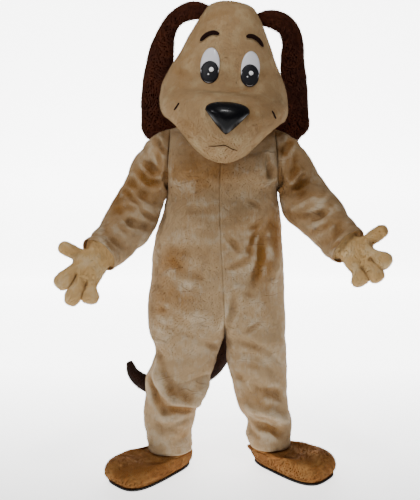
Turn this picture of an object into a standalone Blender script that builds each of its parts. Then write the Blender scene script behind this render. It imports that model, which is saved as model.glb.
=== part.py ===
"""Dog mascot costume: a plush suit, a hollow head with long ears, gloves, feet and a tail.

Metres, +Z up. The costume faces -Y, and left and right are the wearer's (right is -X).
Every cloth piece is a closed wall of its own, worked out from the tables of sections below.
Heights in the tables are above the floor that the feet stand on.
"""

import math

import bmesh
import bpy
import numpy as np
from mathutils import Vector
from mathutils.bvhtree import BVHTree

# Driving sizes
SHOULDER_HEIGHT = 1.36  # the origin is the middle of the shoulder line, at this height
PLUSH = 0.004  # suit, sleeve, glove and foot wall
SHELL = 0.010  # head wall, plush on foam
SEAM_GAP = 0.0003
SEAT_GAP = 0.0005
SPLIT_ORDER = (0.31, 0.53, 0.79)  # so that two edges at a seam are split the same way

PANEL_COLUMNS = 7
SHOULDER_ROWS = 2
ARMHOLE_ROWS = 8
FULLNESS = 0.92  # of a round leg or armhole; a lower one squares the section off
CROTCH_FULLNESS = 0.64
THIGH = 0.22  # below the crotch, where the legs have become round

# Suit body: height, right side x, left side x, centre seam x, front y, back y, fullness
TORSO = (
    (1.141, -0.216, 0.222, -0.012, -0.156, 0.128, 0.92),
    (1.060, -0.238, 0.232, -0.010, -0.168, 0.138, 0.92),
    (0.973, -0.266, 0.243, -0.006, -0.180, 0.148, 0.90),
    (0.818, -0.285, 0.249, 0.002, -0.190, 0.158, 0.82),
    (0.645, -0.302, 0.260, 0.010, -0.182, 0.162, 0.70),
    (0.557, -0.294, 0.256, 0.013, -0.170, 0.156, 0.64),
)
TORSO_LEVELS = (1.141, 1.090, 1.035, 0.973, 0.905, 0.835, 0.765, 0.705)
RISE_LEVELS = (0.660, 0.632, 0.608, 0.586, 0.570, 0.557)
RISE_TOP = 0.660
CROTCH = 0.557
CROTCH_CURVE = 2.2  # above 1 drops the centre seam steeply before it turns under

# Legs: height, inner x, outer x, front y, back y
RIGHT_LEG = (
    (0.557, 0.013, -0.294, -0.170, 0.156),
    (0.485, -0.012, -0.272, -0.166, 0.140),
    (0.440, -0.026, -0.284, -0.166, 0.128),
    (0.392, -0.046, -0.306, -0.168, 0.118),
    (0.328, -0.062, -0.316, -0.164, 0.100),
    (0.255, -0.104, -0.318, -0.152, 0.076),
    (0.195, -0.114, -0.318, -0.148, 0.060),
    (0.134, -0.119, -0.314, -0.146, 0.052),
    (0.092, -0.121, -0.310, -0.150, 0.050),
)
LEFT_LEG = (
    (0.557, 0.013, 0.256, -0.170, 0.156),
    (0.485, 0.015, 0.266, -0.164, 0.140),
    (0.440, 0.022, 0.268, -0.162, 0.128),
    (0.392, 0.032, 0.271, -0.160, 0.116),
    (0.328, 0.047, 0.271, -0.156, 0.098),
    (0.255, 0.074, 0.277, -0.150, 0.076),
    (0.195, 0.102, 0.288, -0.148, 0.060),
    (0.140, 0.100, 0.288, -0.146, 0.052),
    (0.110, 0.112, 0.284, -0.150, 0.050),
)
LEG_ROWS = 13

# Neck band, a flat ring that the head's rim rests on
NECK_CENTRE_Y = -0.010
NECK_OUTER = (0.125, 0.115)
NECK_INNER = (0.092, 0.084)
NECK_HEIGHT = 1.405
NECK_SLOPE = 0.15

ARMHOLE_CENTRE = (-0.012, 1.263)  # y, height
ARMHOLE_REACH = (0.105, 0.122)  # half depth, half height
ARMHOLE_TOP_X = 0.203

# Sleeves: outward x, y, height, half height, half depth of each section after the armhole
RIGHT_SLEEVE = (
    (0.241, -0.012, 1.246, 0.113, 0.104),
    (0.270, -0.014, 1.206, 0.100, 0.101),
    (0.297, -0.022, 1.150, 0.098, 0.099),
    (0.321, -0.034, 1.100, 0.101, 0.098),
    (0.345, -0.058, 1.050, 0.104, 0.096),
    (0.372, -0.100, 1.005, 0.096, 0.091),
    (0.405, -0.146, 0.966, 0.087, 0.085),
    (0.438, -0.190, 0.932, 0.082, 0.078),
    (0.462, -0.222, 0.908, 0.079, 0.074),
)
LEFT_SLEEVE = (
    (0.246, -0.012, 1.246, 0.114, 0.104),
    (0.269, -0.014, 1.208, 0.102, 0.101),
    (0.294, -0.022, 1.158, 0.101, 0.099),
    (0.321, -0.034, 1.118, 0.106, 0.098),
    (0.348, -0.060, 1.082, 0.107, 0.096),
    (0.378, -0.100, 1.044, 0.099, 0.092),
    (0.409, -0.146, 1.005, 0.090, 0.086),
    (0.440, -0.190, 0.966, 0.082, 0.078),
    (0.468, -0.224, 0.942, 0.078, 0.074),
)
SLEEVE_ROWS = 14
ELBOW_ROW = 7  # where a sleeve's upper and lower parts meet
SLEEVE_CLEARANCE = 0.006

# Folds: side (-1 front, 1 back), start x, start height, end x, end height, width, depth
BODY_FOLDS = (
    (-1, 0.185, 1.265, 0.190, 1.175, 0.020, -0.010),
    (-1, 0.205, 1.050, 0.110, 0.760, 0.024, -0.009),
    (-1, 0.180, 0.960, 0.205, 0.800, 0.026, 0.007),
    (-1, -0.190, 0.860, -0.060, 0.800, 0.030, -0.005),
    (-1, -0.285, 0.475, -0.215, 0.335, 0.026, 0.016),
    (-1, -0.215, 0.335, -0.110, 0.315, 0.028, 0.018),
    (-1, -0.110, 0.315, -0.030, 0.430, 0.026, 0.012),
    (-1, -0.310, 0.415, -0.225, 0.285, 0.020, -0.010),
    (-1, -0.225, 0.285, -0.100, 0.275, 0.020, -0.010),
    (-1, -0.300, 0.220, -0.150, 0.165, 0.022, -0.007),
    (-1, 0.060, 0.400, 0.260, 0.330, 0.024, -0.009),
    (-1, 0.100, 0.290, 0.270, 0.225, 0.024, 0.010),
    (-1, 0.110, 0.220, 0.280, 0.170, 0.020, -0.009),
    (1, -0.180, 1.240, -0.160, 1.120, 0.024, -0.008),
    (1, 0.180, 1.230, 0.150, 1.110, 0.024, -0.008),
    (1, -0.240, 0.980, -0.080, 0.860, 0.028, -0.008),
    (1, 0.230, 0.960, 0.090, 0.820, 0.028, -0.007),
    (1, -0.260, 0.560, -0.060, 0.500, 0.024, -0.010),
    (1, 0.240, 0.570, 0.050, 0.505, 0.024, -0.010),
    (1, -0.300, 0.360, -0.080, 0.300, 0.026, 0.010),
    (1, 0.270, 0.350, 0.070, 0.290, 0.026, 0.010),
    (1, -0.300, 0.230, -0.130, 0.190, 0.020, -0.008),
    (1, 0.280, 0.220, 0.110, 0.185, 0.020, -0.008),
)
RIGHT_SLEEVE_FOLDS = (
    (-1, -0.300, 1.260, -0.235, 1.180, 0.020, -0.009),
    (-1, -0.375, 1.180, -0.255, 1.110, 0.020, -0.009),
    (-1, -0.390, 1.110, -0.265, 1.060, 0.020, 0.009),
    (-1, -0.400, 1.075, -0.290, 1.010, 0.018, -0.009),
    (-1, -0.440, 1.020, -0.350, 0.930, 0.018, -0.007),
    (1, -0.360, 1.190, -0.250, 1.130, 0.022, -0.008),
    (1, -0.420, 1.060, -0.290, 1.010, 0.022, -0.008),
)
LEFT_SLEEVE_FOLDS = (
    (-1, 0.300, 1.270, 0.240, 1.190, 0.020, -0.009),
    (-1, 0.370, 1.190, 0.240, 1.130, 0.020, -0.009),
    (-1, 0.400, 1.130, 0.250, 1.080, 0.020, 0.009),
    (-1, 0.400, 1.095, 0.290, 1.020, 0.018, -0.009),
    (-1, 0.440, 1.050, 0.370, 0.950, 0.018, -0.007),
    (1, 0.360, 1.200, 0.250, 1.140, 0.022, -0.008),
    (1, 0.420, 1.080, 0.290, 1.030, 0.022, -0.008),
)

# Head, upright and facing -Y before it is turned:
# front y, front height, side y, side height, half width, back y, back height, point of the face
HEAD = (
    (-0.030, 1.866, -0.030, 1.862, 0.050, -0.030, 1.866, 1.00),
    (-0.085, 1.856, -0.030, 1.846, 0.088, 0.035, 1.856, 1.00),
    (-0.125, 1.826, -0.030, 1.814, 0.110, 0.085, 1.826, 0.95),
    (-0.155, 1.780, -0.025, 1.770, 0.134, 0.125, 1.776, 0.92),
    (-0.176, 1.722, -0.020, 1.712, 0.162, 0.152, 1.714, 0.90),
    (-0.192, 1.655, -0.020, 1.648, 0.190, 0.170, 1.646, 0.88),
    (-0.202, 1.590, -0.020, 1.592, 0.220, 0.178, 1.584, 0.88),
    (-0.210, 1.540, -0.020, 1.545, 0.242, 0.180, 1.532, 0.90),
    (-0.226, 1.514, -0.022, 1.515, 0.250, 0.178, 1.500, 0.92),
    (-0.270, 1.503, -0.030, 1.488, 0.253, 0.174, 1.482, 0.94),
    (-0.328, 1.478, -0.040, 1.462, 0.252, 0.168, 1.468, 0.95),
    (-0.362, 1.420, -0.050, 1.440, 0.247, 0.160, 1.456, 0.96),
    (-0.358, 1.360, -0.056, 1.424, 0.239, 0.150, 1.446, 0.98),
    (-0.336, 1.314, -0.060, 1.414, 0.227, 0.142, 1.440, 1.00),
    (-0.300, 1.272, -0.056, 1.412, 0.208, 0.136, 1.436, 1.00),
    (-0.255, 1.250, -0.042, 1.414, 0.183, 0.130, 1.434, 1.00),
    (-0.212, 1.318, -0.026, 1.418, 0.156, 0.122, 1.434, 1.00),
    (-0.162, 1.394, -0.014, 1.418, 0.134, 0.112, 1.432, 1.00),
)
HEAD_RIM = (0.116, 0.106)  # half width and half depth of the rim on the neck band
FACE_ROWS = (0.0, 0.6, 1.4, 2.3, 3.2, 4.1, 5.0, 6.0, 7.0, 8.0)
MUZZLE_ROWS = (8.0, 8.6, 9.3, 10.1, 11.0, 12.0, 13.0)
JAW_ROWS = (13.0, 14.0, 15.0, 16.0, 17.0, 18.0)
FRONT_COLUMNS = 18
BACK_COLUMNS = 6
HEAD_PIVOT = (0.007, 0.0, 1.510)
HEAD_ROLL = math.radians(4.5)
HEAD_YAW = math.radians(2.3)
HEAD_LEVEL_ROWS = (12.0, 16.0)  # below these rows the turn fades out towards the rim

# Face pieces, from the head's pivot: across, up, half width, half height
EYE_WHITE = (0.075, 0.086, 0.036, 0.069)
EYE_PUPIL = (0.074, 0.064, 0.0305, 0.0415)
NOSE = (0.000, -0.078, 0.078, 0.034, 0.080)  # across, up, half width, above, below
BROW = ((0.047, 0.205), (0.070, 0.214), (0.094, 0.208), (0.119, 0.180))
AHEAD_OF_FACE = -0.30  # y from which the pieces are laid back onto the face
EYE_WHITE_RINGS = (1.0, 0.8, 0.45)
EYE_WHITE_RISES = (0.002, 0.005, 0.008, 0.009)  # of each ring and the middle
EYE_PUPIL_RINGS = (1.0, 0.55)
EYE_PUPIL_RISES = (0.0012, 0.002, 0.0022)
NOSE_RINGS = (1.0, 0.93, 0.72, 0.4)
NOSE_RISES = (0.006, 0.016, 0.026, 0.032, 0.034)
NOSE_SIDES = 22
NOSE_POINT = 1.4  # above 1 rounds off the lower point
BROW_ROWS = 8
BROW_ENDS = 0.93  # 1 would bring the ends to a point
BROW_WIDTH = 0.012
BROW_THICKNESS = 0.006

# Ears: x, y, height, half width, half thickness and turn from facing front in degrees of
# each section, from the root down
RIGHT_EAR = (
    (-0.070, 0.000, 1.834, 0.036, 0.016, 24),
    (-0.128, 0.004, 1.834, 0.042, 0.018, 24),
    (-0.182, 0.016, 1.808, 0.040, 0.018, 24),
    (-0.216, 0.038, 1.760, 0.044, 0.018, 24),
    (-0.236, 0.066, 1.702, 0.056, 0.018, 24),
    (-0.250, 0.100, 1.630, 0.069, 0.018, 22),
    (-0.257, 0.134, 1.550, 0.077, 0.018, 18),
    (-0.258, 0.160, 1.465, 0.084, 0.018, 14),
    (-0.254, 0.168, 1.390, 0.086, 0.018, 12),
    (-0.252, 0.168, 1.352, 0.064, 0.014, 12),
    (-0.252, 0.168, 1.334, 0.034, 0.009, 12),
)
LEFT_EAR = (
    (0.152, 0.000, 1.806, 0.034, 0.016, 24),
    (0.204, 0.004, 1.800, 0.044, 0.018, 24),
    (0.252, 0.016, 1.776, 0.048, 0.018, 24),
    (0.276, 0.038, 1.722, 0.052, 0.018, 24),
    (0.280, 0.066, 1.655, 0.057, 0.018, 24),
    (0.288, 0.102, 1.580, 0.062, 0.019, 20),
    (0.293, 0.134, 1.510, 0.070, 0.019, 16),
    (0.292, 0.156, 1.450, 0.075, 0.019, 12),
    (0.292, 0.164, 1.395, 0.075, 0.018, 12),
    (0.294, 0.166, 1.352, 0.056, 0.014, 12),
    (0.296, 0.166, 1.326, 0.030, 0.009, 12),
)
EAR_COLUMNS = 12
EAR_ROWS = 14

# Tail: x, y, height, radius
TAIL = (
    (0.012, 0.180, 0.612, 0.046),
    (0.017, 0.236, 0.592, 0.045),
    (0.020, 0.252, 0.520, 0.044),
    (0.012, 0.258, 0.430, 0.043),
    (-0.024, 0.256, 0.350, 0.042),
    (-0.108, 0.246, 0.284, 0.041),
    (-0.215, 0.236, 0.254, 0.040),
    (-0.315, 0.224, 0.266, 0.039),
    (-0.382, 0.212, 0.316, 0.031),
    (-0.404, 0.206, 0.376, 0.017),
)
TAIL_COLUMNS = 10
TAIL_ROWS = 15

# Gloves: outward x, y, height of the wrist, palm, knuckles and digit tips
RIGHT_HAND = {
    "wrist": (0.448, -0.208, 0.920),
    "palm": (0.497, -0.262, 0.872),
    "knuckles": (0.520, -0.282, 0.835),
    "thumb": (0.588, -0.300, 0.946),
    "first": (0.604, -0.312, 0.806),
    "middle": (0.552, -0.312, 0.748),
    "last": (0.482, -0.300, 0.752),
}
LEFT_HAND = {
    "wrist": (0.452, -0.208, 0.952),
    "palm": (0.500, -0.262, 0.916),
    "knuckles": (0.522, -0.282, 0.890),
    "thumb": (0.580, -0.300, 1.012),
    "first": (0.606, -0.312, 0.880),
    "middle": (0.568, -0.312, 0.832),
    "last": (0.500, -0.300, 0.818),
}
PALM_WIDTH = 0.122
PALM_THICKNESS = 0.066
# Share of the way to the knuckles, shares of the width and thickness there
PALM = ((0.0, 0.80, 1.10), (0.35, 1.0, 1.10), (0.75, 1.12, 1.05), (1.0, 1.10, 0.95))
PALM_CORNERS = ((-1, -1), (-1 / 3, -1), (1 / 3, -1), (1, -1), (1, 1), (1 / 3, 1), (-1 / 3, 1), (-1, 1))
DIGIT = ((0.40, 0.036), (0.78, 0.038), (1.0, 0.027))  # share of the length, half width
GLOVE_WALL = 0.003
GLOVE_CUT = 0.9  # share of the way to the knuckles where the palm and the fingers meet

SOLE_THICKNESS = 0.008

# Feet: toe height, heel height, toe reach, heel reach, toe half width, heel's share of it
FOOT = (
    (SOLE_THICKNESS + SEAT_GAP, SOLE_THICKNESS + SEAT_GAP, 0.246, 0.090, 0.118, 0.40),
    (0.036, 0.032, 0.262, 0.098, 0.130, 0.46),
    (0.074, 0.056, 0.258, 0.098, 0.130, 0.54),
    (0.104, 0.074, 0.226, 0.094, 0.120, 0.62),
    (0.110, 0.084, 0.170, 0.088, 0.106, 0.70),
    (0.082, 0.082, 0.118, 0.080, 0.090, 0.82),
)
# Feet: side, ankle x, ankle y, toes turned out by, shares of toe reach and height,
# tread's shift outward
FOOT_PLACES = (
    (-1, -0.2155, -0.045, math.radians(47), 1.09, 0.82, 0.0),
    (1, 0.1980, -0.045, math.radians(50), 1.01, 1.0, 0.040),
)
COLLAR_DROP = 0.006  # how far the upper passes under the leg's hem
FOOT_COLUMNS = 24
SOLE_MARGIN = 0.004

COLOURS = {
    "plush": (0.42, 0.29, 0.17, 0.95),
    "head_plush": (0.45, 0.31, 0.19, 0.95),
    "glove_plush": (0.50, 0.34, 0.18, 0.95),
    "ear_plush": (0.045, 0.012, 0.006, 0.9),
    "foot_plush": (0.20, 0.085, 0.026, 0.95),
    "tail_plush": (0.016, 0.009, 0.006, 0.9),
    "eye_white": (0.72, 0.70, 0.74, 0.3),
    "black_plastic": (0.006, 0.006, 0.008, 0.15),
    "brow_felt": (0.035, 0.008, 0.006, 0.9),
    "sole_rubber": (0.012, 0.011, 0.010, 0.7),
}


# ---- Tools: curves through tables, walls from grids, seats on other pieces ----


def through(table, places):
    """Smooth values of a table's columns at places measured along its first column."""
    rows = np.array(sorted(table), float)
    x, y = rows[:, 0], rows[:, 1:]
    slope = np.gradient(y, x, axis=0)
    places = np.clip(np.asarray(places, float), x[0], x[-1])
    k = np.clip(np.searchsorted(x, places) - 1, 0, len(x) - 2)
    span = (x[k + 1] - x[k])[:, None]
    t = (places - x[k])[:, None] / span
    rise = t * t * (3 - 2 * t)
    start = t * (1 - t) ** 2 * span * slope[k]
    end = t * t * (t - 1) * span * slope[k + 1]
    return y[k] * (1 - rise) + y[k + 1] * rise + start + end


def numbered(table):
    """The table with each row's number as its first column."""
    return [(float(k), *row) for k, row in enumerate(table)]


def unit(vectors):
    length = np.linalg.norm(vectors, axis=-1, keepdims=True)
    return vectors / np.maximum(length, 1e-12)


def shared_normals(grids):
    """Outward normals of grids that join up. Each entry is (points, sign, wraps round)."""
    total = {}
    keys = []
    for points, sign, wraps in grids:
        rows, columns = points.shape[:2]
        key = [[tuple(np.round(p, 6)) for p in row] for row in points]
        keys.append(key)
        for i in range(rows - 1):
            for j in range(columns if wraps else columns - 1):
                corners = ((i, j), (i + 1, j), (i + 1, (j + 1) % columns), (i, (j + 1) % columns))
                a, b, c, d = (points[corner] for corner in corners)
                face = sign * np.cross(c - a, d - b)
                for r, s in corners:
                    total[key[r][s]] = total.get(key[r][s], 0) + face
    return [unit(np.array([[total[k] for k in row] for row in key])) for key in keys]


def seam_edges_in(points, normals, wraps):
    """The grid with its edges drawn in by half a seam gap."""
    result = points.copy()
    axes = (0,) if wraps else (0, 1)
    for axis in axes:
        for edge, beside in ((0, 1), (-1, -2)):
            here = (edge, slice(None)) if axis == 0 else (slice(None), edge)
            there = (beside, slice(None)) if axis == 0 else (slice(None), beside)
            step = points[there] - points[here]
            if wraps:
                along = np.roll(points[here], -1, 0) - np.roll(points[here], 1, 0)
            else:
                along = np.gradient(points[here], axis=0)
            for direction in (unit(along), normals[here]):
                step = step - (step * direction).sum(-1, keepdims=True) * direction
            result[here] += unit(step) * SEAM_GAP / 2
    return result


def material(name):
    red, green, blue, rough = COLOURS[name]
    made = bpy.data.materials.get(name) or bpy.data.materials.new(name)
    made.use_nodes = True
    shader = made.node_tree.nodes["Principled BSDF"]
    shader.inputs["Base Color"].default_value = (red, green, blue, 1)
    shader.inputs["Roughness"].default_value = rough
    return made


def add_piece(name, points, faces, finish):
    """A closed piece in the costume's collection, under the empty that sets the origin."""
    mesh = bpy.data.meshes.new(name)
    mesh.from_pydata([tuple(p) for p in points], [], faces)
    bm = bmesh.new()
    bm.from_mesh(mesh)
    bmesh.ops.recalc_face_normals(bm, faces=bm.faces)
    bm.to_mesh(mesh)
    bm.free()
    mesh.shade_smooth()
    mesh.materials.append(material(finish))
    piece = bpy.data.objects.new(name, mesh)
    costume.objects.link(piece)
    piece.parent = floor_mark
    return piece


def grid_faces(rows, columns, wraps, first=0):
    faces = []
    for i in range(rows - 1):
        for j in range(columns if wraps else columns - 1):
            k = (j + 1) % columns
            faces.append(tuple(first + n for n in (
                i * columns + j, (i + 1) * columns + j, (i + 1) * columns + k, i * columns + k)))
    return faces


def border(rows, columns):
    """The grid's outer points in order, for an open grid."""
    top = [j for j in range(columns)]
    right = [i * columns + columns - 1 for i in range(1, rows)]
    bottom = [(rows - 1) * columns + j for j in range(columns - 2, -1, -1)]
    left = [i * columns for i in range(rows - 2, 0, -1)]
    return top + right + bottom + left


def wall(name, outer, inner, wraps, finish):
    """A closed wall between an outer and an inner grid of the same layout."""
    rows, columns = outer.shape[:2]
    count = rows * columns
    points = np.concatenate([outer.reshape(-1, 3), inner.reshape(-1, 3)])
    faces = grid_faces(rows, columns, wraps)
    faces += [face[::-1] for face in grid_faces(rows, columns, wraps, count)]
    if wraps:
        loops = [list(range(columns)), list(range(count - columns, count))[::-1]]
    else:
        loops = [border(rows, columns)]
    order = points @ np.array(SPLIT_ORDER)
    for loop in loops:
        for a, b in zip(loop, loop[1:] + loop[:1]):
            if order[a] < order[b]:
                faces += [(a, b, b + count), (a, b + count, a + count)]
            else:
                faces += [(a, b, a + count), (b, b + count, a + count)]
    return add_piece(name, points, faces, finish)


def solid_loft(name, sections, finish):
    """A closed body through rings, with a flat cap on each end."""
    rows, columns = sections.shape[:2]
    points = list(sections.reshape(-1, 3)) + [sections[0].mean(0), sections[-1].mean(0)]
    faces = grid_faces(rows, columns, True)
    last = (rows - 1) * columns
    for j in range(columns):
        k = (j + 1) % columns
        faces.append((rows * columns, j, k))
        faces.append((rows * columns + 1, last + k, last + j))
    return add_piece(name, points, faces, finish)


def surface_of(*pieces):
    """A search tree of the pieces' faces, each four-sided one split both ways."""
    points, faces = [], []
    for piece in pieces:
        first = len(points)
        points += [vertex.co.copy() for vertex in piece.data.vertices]
        for face in piece.data.polygons:
            corners = [first + v for v in face.vertices]
            for k in range(len(corners)):
                faces.append([corners[k], corners[(k + 1) % len(corners)], corners[k - 1]])
    return BVHTree.FromPolygons(points, faces)


def gap_along(tree, points, direction, reach=0.25):
    """How far each point can move along the direction before it meets the surface."""
    heading = Vector(direction).normalized()
    gaps = []
    for point in points:
        hit = tree.ray_cast(Vector(point) - heading * reach, heading)
        gaps.append(hit[3] - reach if hit[0] else np.inf)
    gaps = np.array(gaps)
    return np.where(np.isfinite(gaps), gaps, gaps[np.isfinite(gaps)].max())


def between(points, triangles, steps=6):
    """Points spread over triangles, corners and edges included."""
    spread = []
    for a, b, c in triangles:
        for i in range(steps + 1):
            for j in range(steps + 1 - i):
                u, v = i / steps, j / steps
                spread.append(points[a] * (1 - u - v) + points[b] * u + points[c] * v)
    return np.array(spread)


# ---- Suit: four quarter panels from the neck to the ankle ----


def level_section(seam_x, side_x, front_y, back_y, split, face, fullness):
    """One level of a quarter panel, from its centre or inseam edge to its side edge.

    Split 0 is a quarter of the body and 1 is half of a leg.
    """
    share = np.linspace(0, 1, PANEL_COLUMNS + 1)
    out = (1 - split) * np.sin(math.pi / 2 * share) + split * (1 - np.cos(math.pi * share)) / 2
    power = 2 / fullness
    body = np.clip(1 - out ** power, 0, 1) ** (1 / power)
    leg = np.clip(1 - np.abs(2 * out - 1) ** power, 0, 1) ** (1 / power)
    middle, depth = (front_y + back_y) / 2, (back_y - front_y) / 2
    y = middle + face * depth * ((1 - split) * body + split * leg)
    return seam_x + (side_x - seam_x) * out, y


def torso_section(height, side, face, rise=1.0):
    right_x, left_x, seam_x, front_y, back_y, fullness = through(TORSO, [height])[0]
    side_x = left_x if side > 0 else right_x
    split = (1 - rise) ** CROTCH_CURVE
    x, y = level_section(seam_x, side_x, front_y, back_y, split, face, fullness)
    return np.stack([x, y, np.full_like(x, height)], -1)


def leg_section(height, side, face):
    inner_x, outer_x, front_y, back_y = through(LEFT_LEG if side > 0 else RIGHT_LEG, [height])[0]
    below = min(1.0, (CROTCH - height) / THIGH)
    fullness = CROTCH_FULLNESS + (FULLNESS - CROTCH_FULLNESS) * below
    x, y = level_section(inner_x, outer_x, front_y, back_y, 1.0, face, fullness)
    return np.stack([x, y, np.full_like(x, height)], -1)


def neck_point(side, angle, reach, face):
    x = side * reach[0] * np.sin(angle)
    y = NECK_CENTRE_Y + face * reach[1] * np.cos(angle)
    z = NECK_HEIGHT + NECK_SLOPE * (y - NECK_CENTRE_Y)
    return np.stack([x, y, z], -1)


def armhole(side, face):
    """Half of the armhole's edge, from its top round to the armpit."""
    angle = np.radians(np.linspace(90, -90, ARMHOLE_ROWS + 1))
    middle, depth = torso_section(TORSO_LEVELS[0], side, face)[-1], ARMHOLE_REACH[0]
    share = (1 - np.sin(angle)) / 2
    x = side * ARMHOLE_TOP_X * (1 - share) + middle[0] * share
    y = ARMHOLE_CENTRE[0] * (1 - share) + middle[1] * share + face * depth * np.cos(angle)
    z = ARMHOLE_CENTRE[1] + ARMHOLE_REACH[1] * np.sin(angle)
    z[-1] = middle[2]
    return np.stack([x, y, z], -1)


def upper_panel(side, face):
    """From the neck band down to the armpit: a patch between four drawn edges."""
    turn = np.linspace(0, math.pi / 2, PANEL_COLUMNS + 1)
    neck = neck_point(side, turn, NECK_OUTER, face)
    armpit = torso_section(TORSO_LEVELS[0], side, face)
    hole = armhole(side, face)
    share = np.linspace(0, 1, SHOULDER_ROWS + 1)[:-1, None]
    shoulder = neck[-1] * (1 - share) + hole[0] * share
    right = np.concatenate([shoulder, hole])
    rows = len(right)
    s = np.linspace(0, 1, rows)[:, None, None]
    t = np.linspace(0, 1, PANEL_COLUMNS + 1)[None, :, None]
    left = neck[0] * (1 - s[:, 0]) + armpit[0] * s[:, 0]
    left[:, 1] += face * 0.012 * np.sin(math.pi * s[:, 0, 0])
    edges = (1 - s) * neck[None] + s * armpit[None] + (1 - t) * left[:, None] + t * right[:, None]
    corners = (1 - s) * ((1 - t) * neck[0] + t * neck[-1]) + s * ((1 - t) * armpit[0] + t * armpit[-1])
    patch = edges - corners
    patch[-1] = armpit
    patch[:, -1] = right
    band = neck_point(side, turn, NECK_INNER, face)
    return np.concatenate([band[None], patch])


def quarter_panel(side, face):
    rows = list(upper_panel(side, face))
    rows += [torso_section(height, side, face) for height in TORSO_LEVELS[1:]]
    for height in RISE_LEVELS:
        rise = (height - CROTCH) / (RISE_TOP - CROTCH)
        rows.append(torso_section(height, side, face, rise))
    hem = (LEFT_LEG if side > 0 else RIGHT_LEG)[-1][0]
    for height in np.linspace(CROTCH, hem, LEG_ROWS + 1)[1:]:
        rows.append(leg_section(height, side, face))
    return np.array(rows)


def folded(points, normals, folds):
    """The grid with ridges and troughs raised or sunk along straight lines seen from the front."""
    result = points.copy()
    flat = points[..., (0, 2)]
    for face, x0, z0, x1, z1, width, depth in folds:
        start, line = np.array((x0, z0)), np.array((x1 - x0, z1 - z0))
        along = np.clip(((flat - start) @ line) / (line @ line), 0, 1)
        off = flat - start - along[..., None] * line
        away = (off ** 2).sum(-1) / width ** 2
        taper = 0.35 + 0.65 * np.sin(math.pi * np.clip(along, 0.02, 0.98))
        facing = np.clip(1.6 * face * normals[..., 1], 0, 1)
        result += normals * (depth * taper * np.exp(-away) * facing)[..., None]
    return result


def clear_of_body(rings, side, panels):
    """The rings with every point after the first ring outside the body panels."""
    points = [Vector(point) for panel in panels for point in panel.reshape(-1, 3)]
    rows, columns = panels[0].shape[:2]
    faces = grid_faces(rows, columns, False) + grid_faces(rows, columns, False, rows * columns)
    tree = BVHTree.FromPolygons(points, faces)
    for i, ring in enumerate(rings[1:]):
        gap = PLUSH + SLEEVE_CLEARANCE * min(1.0, 0.5 + 0.5 * i)
        for point in ring:
            start = Vector((side, point[1], point[2]))
            hit = tree.ray_cast(start, Vector((-side, 0, 0)))[0]
            if hit and side * hit.x > ARMHOLE_TOP_X / 2:
                point[0] = side * max(side * point[0], side * hit.x + gap)
    return rings


def sleeve_grid(side, panels):
    """Rings from the armhole to the cuff, each from the armpit round the front and back."""
    front, back = armhole(side, -1)[::-1], armhole(side, 1)
    loop = np.concatenate([front, back[1:-1]])
    columns = len(loop)
    table = LEFT_SLEEVE if side > 0 else RIGHT_SLEEVE
    centre = loop.mean(0)
    first = (side * centre[0], centre[1], centre[2], ARMHOLE_REACH[1], ARMHOLE_REACH[0])
    rows = numbered((first, *table))
    places = np.linspace(0, len(table), SLEEVE_ROWS + 1)
    values = through(rows, places)
    path = values[:, :3]
    heading = unit(np.gradient(path, axis=0))
    turned = np.clip(places / 3, 0, 1)[:, None]
    heading = unit((1 - turned) * np.array((1.0, 0, 0)) + turned * heading)
    ahead = np.array((0, -1.0, 0))
    front_axis = unit(ahead - (heading @ ahead)[:, None] * heading)
    up_axis = np.cross(front_axis, heading)
    angle = np.radians(-90 + 360 / columns * np.arange(columns))
    rings = path[:, None] + up_axis[:, None] * (values[:, 3, None] * np.sin(angle))[..., None]
    rings = rings + front_axis[:, None] * (values[:, 4, None] * np.cos(angle))[..., None]
    rings = rings * np.array((side, 1, 1))
    rings[0] = loop
    return clear_of_body(rings, side, panels)


# ---- Head ----


def head_sections(places, angles):
    """Points of the head's sections: angle 0 is the front, a quarter turn the left side."""
    rim = (NECK_CENTRE_Y - HEAD_RIM[1], NECK_CENTRE_Y, HEAD_RIM[0], NECK_CENTRE_Y + HEAD_RIM[1])
    lift = NECK_HEIGHT + SEAM_GAP
    last = (rim[0], lift - NECK_SLOPE * HEAD_RIM[1], rim[1], lift, rim[2],
            rim[3], lift + NECK_SLOPE * HEAD_RIM[1], 1.0)
    rows = through(numbered((*HEAD, last)), places)
    points = np.zeros((len(places), len(angles), 3))
    for k, (front_y, front_z, side_y, side_z, half, back_y, back_z, point) in enumerate(rows):
        s, c = np.sin(angles), np.cos(angles)
        x = half * np.sign(s) * np.abs(s) ** min(1.0, point)
        ahead = c >= 0
        y = np.where(ahead, side_y + (front_y - side_y) * np.abs(c) ** point,
                     side_y + (back_y - side_y) * np.abs(c))
        out = np.abs(x) / half
        z = np.where(ahead, front_z, back_z)
        z = z + (side_z - z) * out ** 2
        if places[k] >= len(HEAD):
            z = NECK_HEIGHT + SEAM_GAP + NECK_SLOPE * (y - NECK_CENTRE_Y)
        points[k] = np.stack([x, y, z], -1)
    held = np.interp(places, HEAD_LEVEL_ROWS, (1.0, 0.0))[:, None]
    return turned_head(points, held)


def turned_head(points, share=1.0):
    """Head points after its roll and yaw about the pivot, by the given share."""
    pivot = np.array(HEAD_PIVOT)
    x, y, z = (points[..., n] - (0, 0, pivot[2])[n] for n in range(3))
    roll, yaw = HEAD_ROLL * share, HEAD_YAW * share
    x, z = x * np.cos(roll) + z * np.sin(roll), -x * np.sin(roll) + z * np.cos(roll)
    x, y = x * np.cos(yaw) - y * np.sin(yaw), x * np.sin(yaw) + y * np.cos(yaw)
    return np.stack([x + pivot[0] * share, y, z + pivot[2]], -1)


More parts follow.
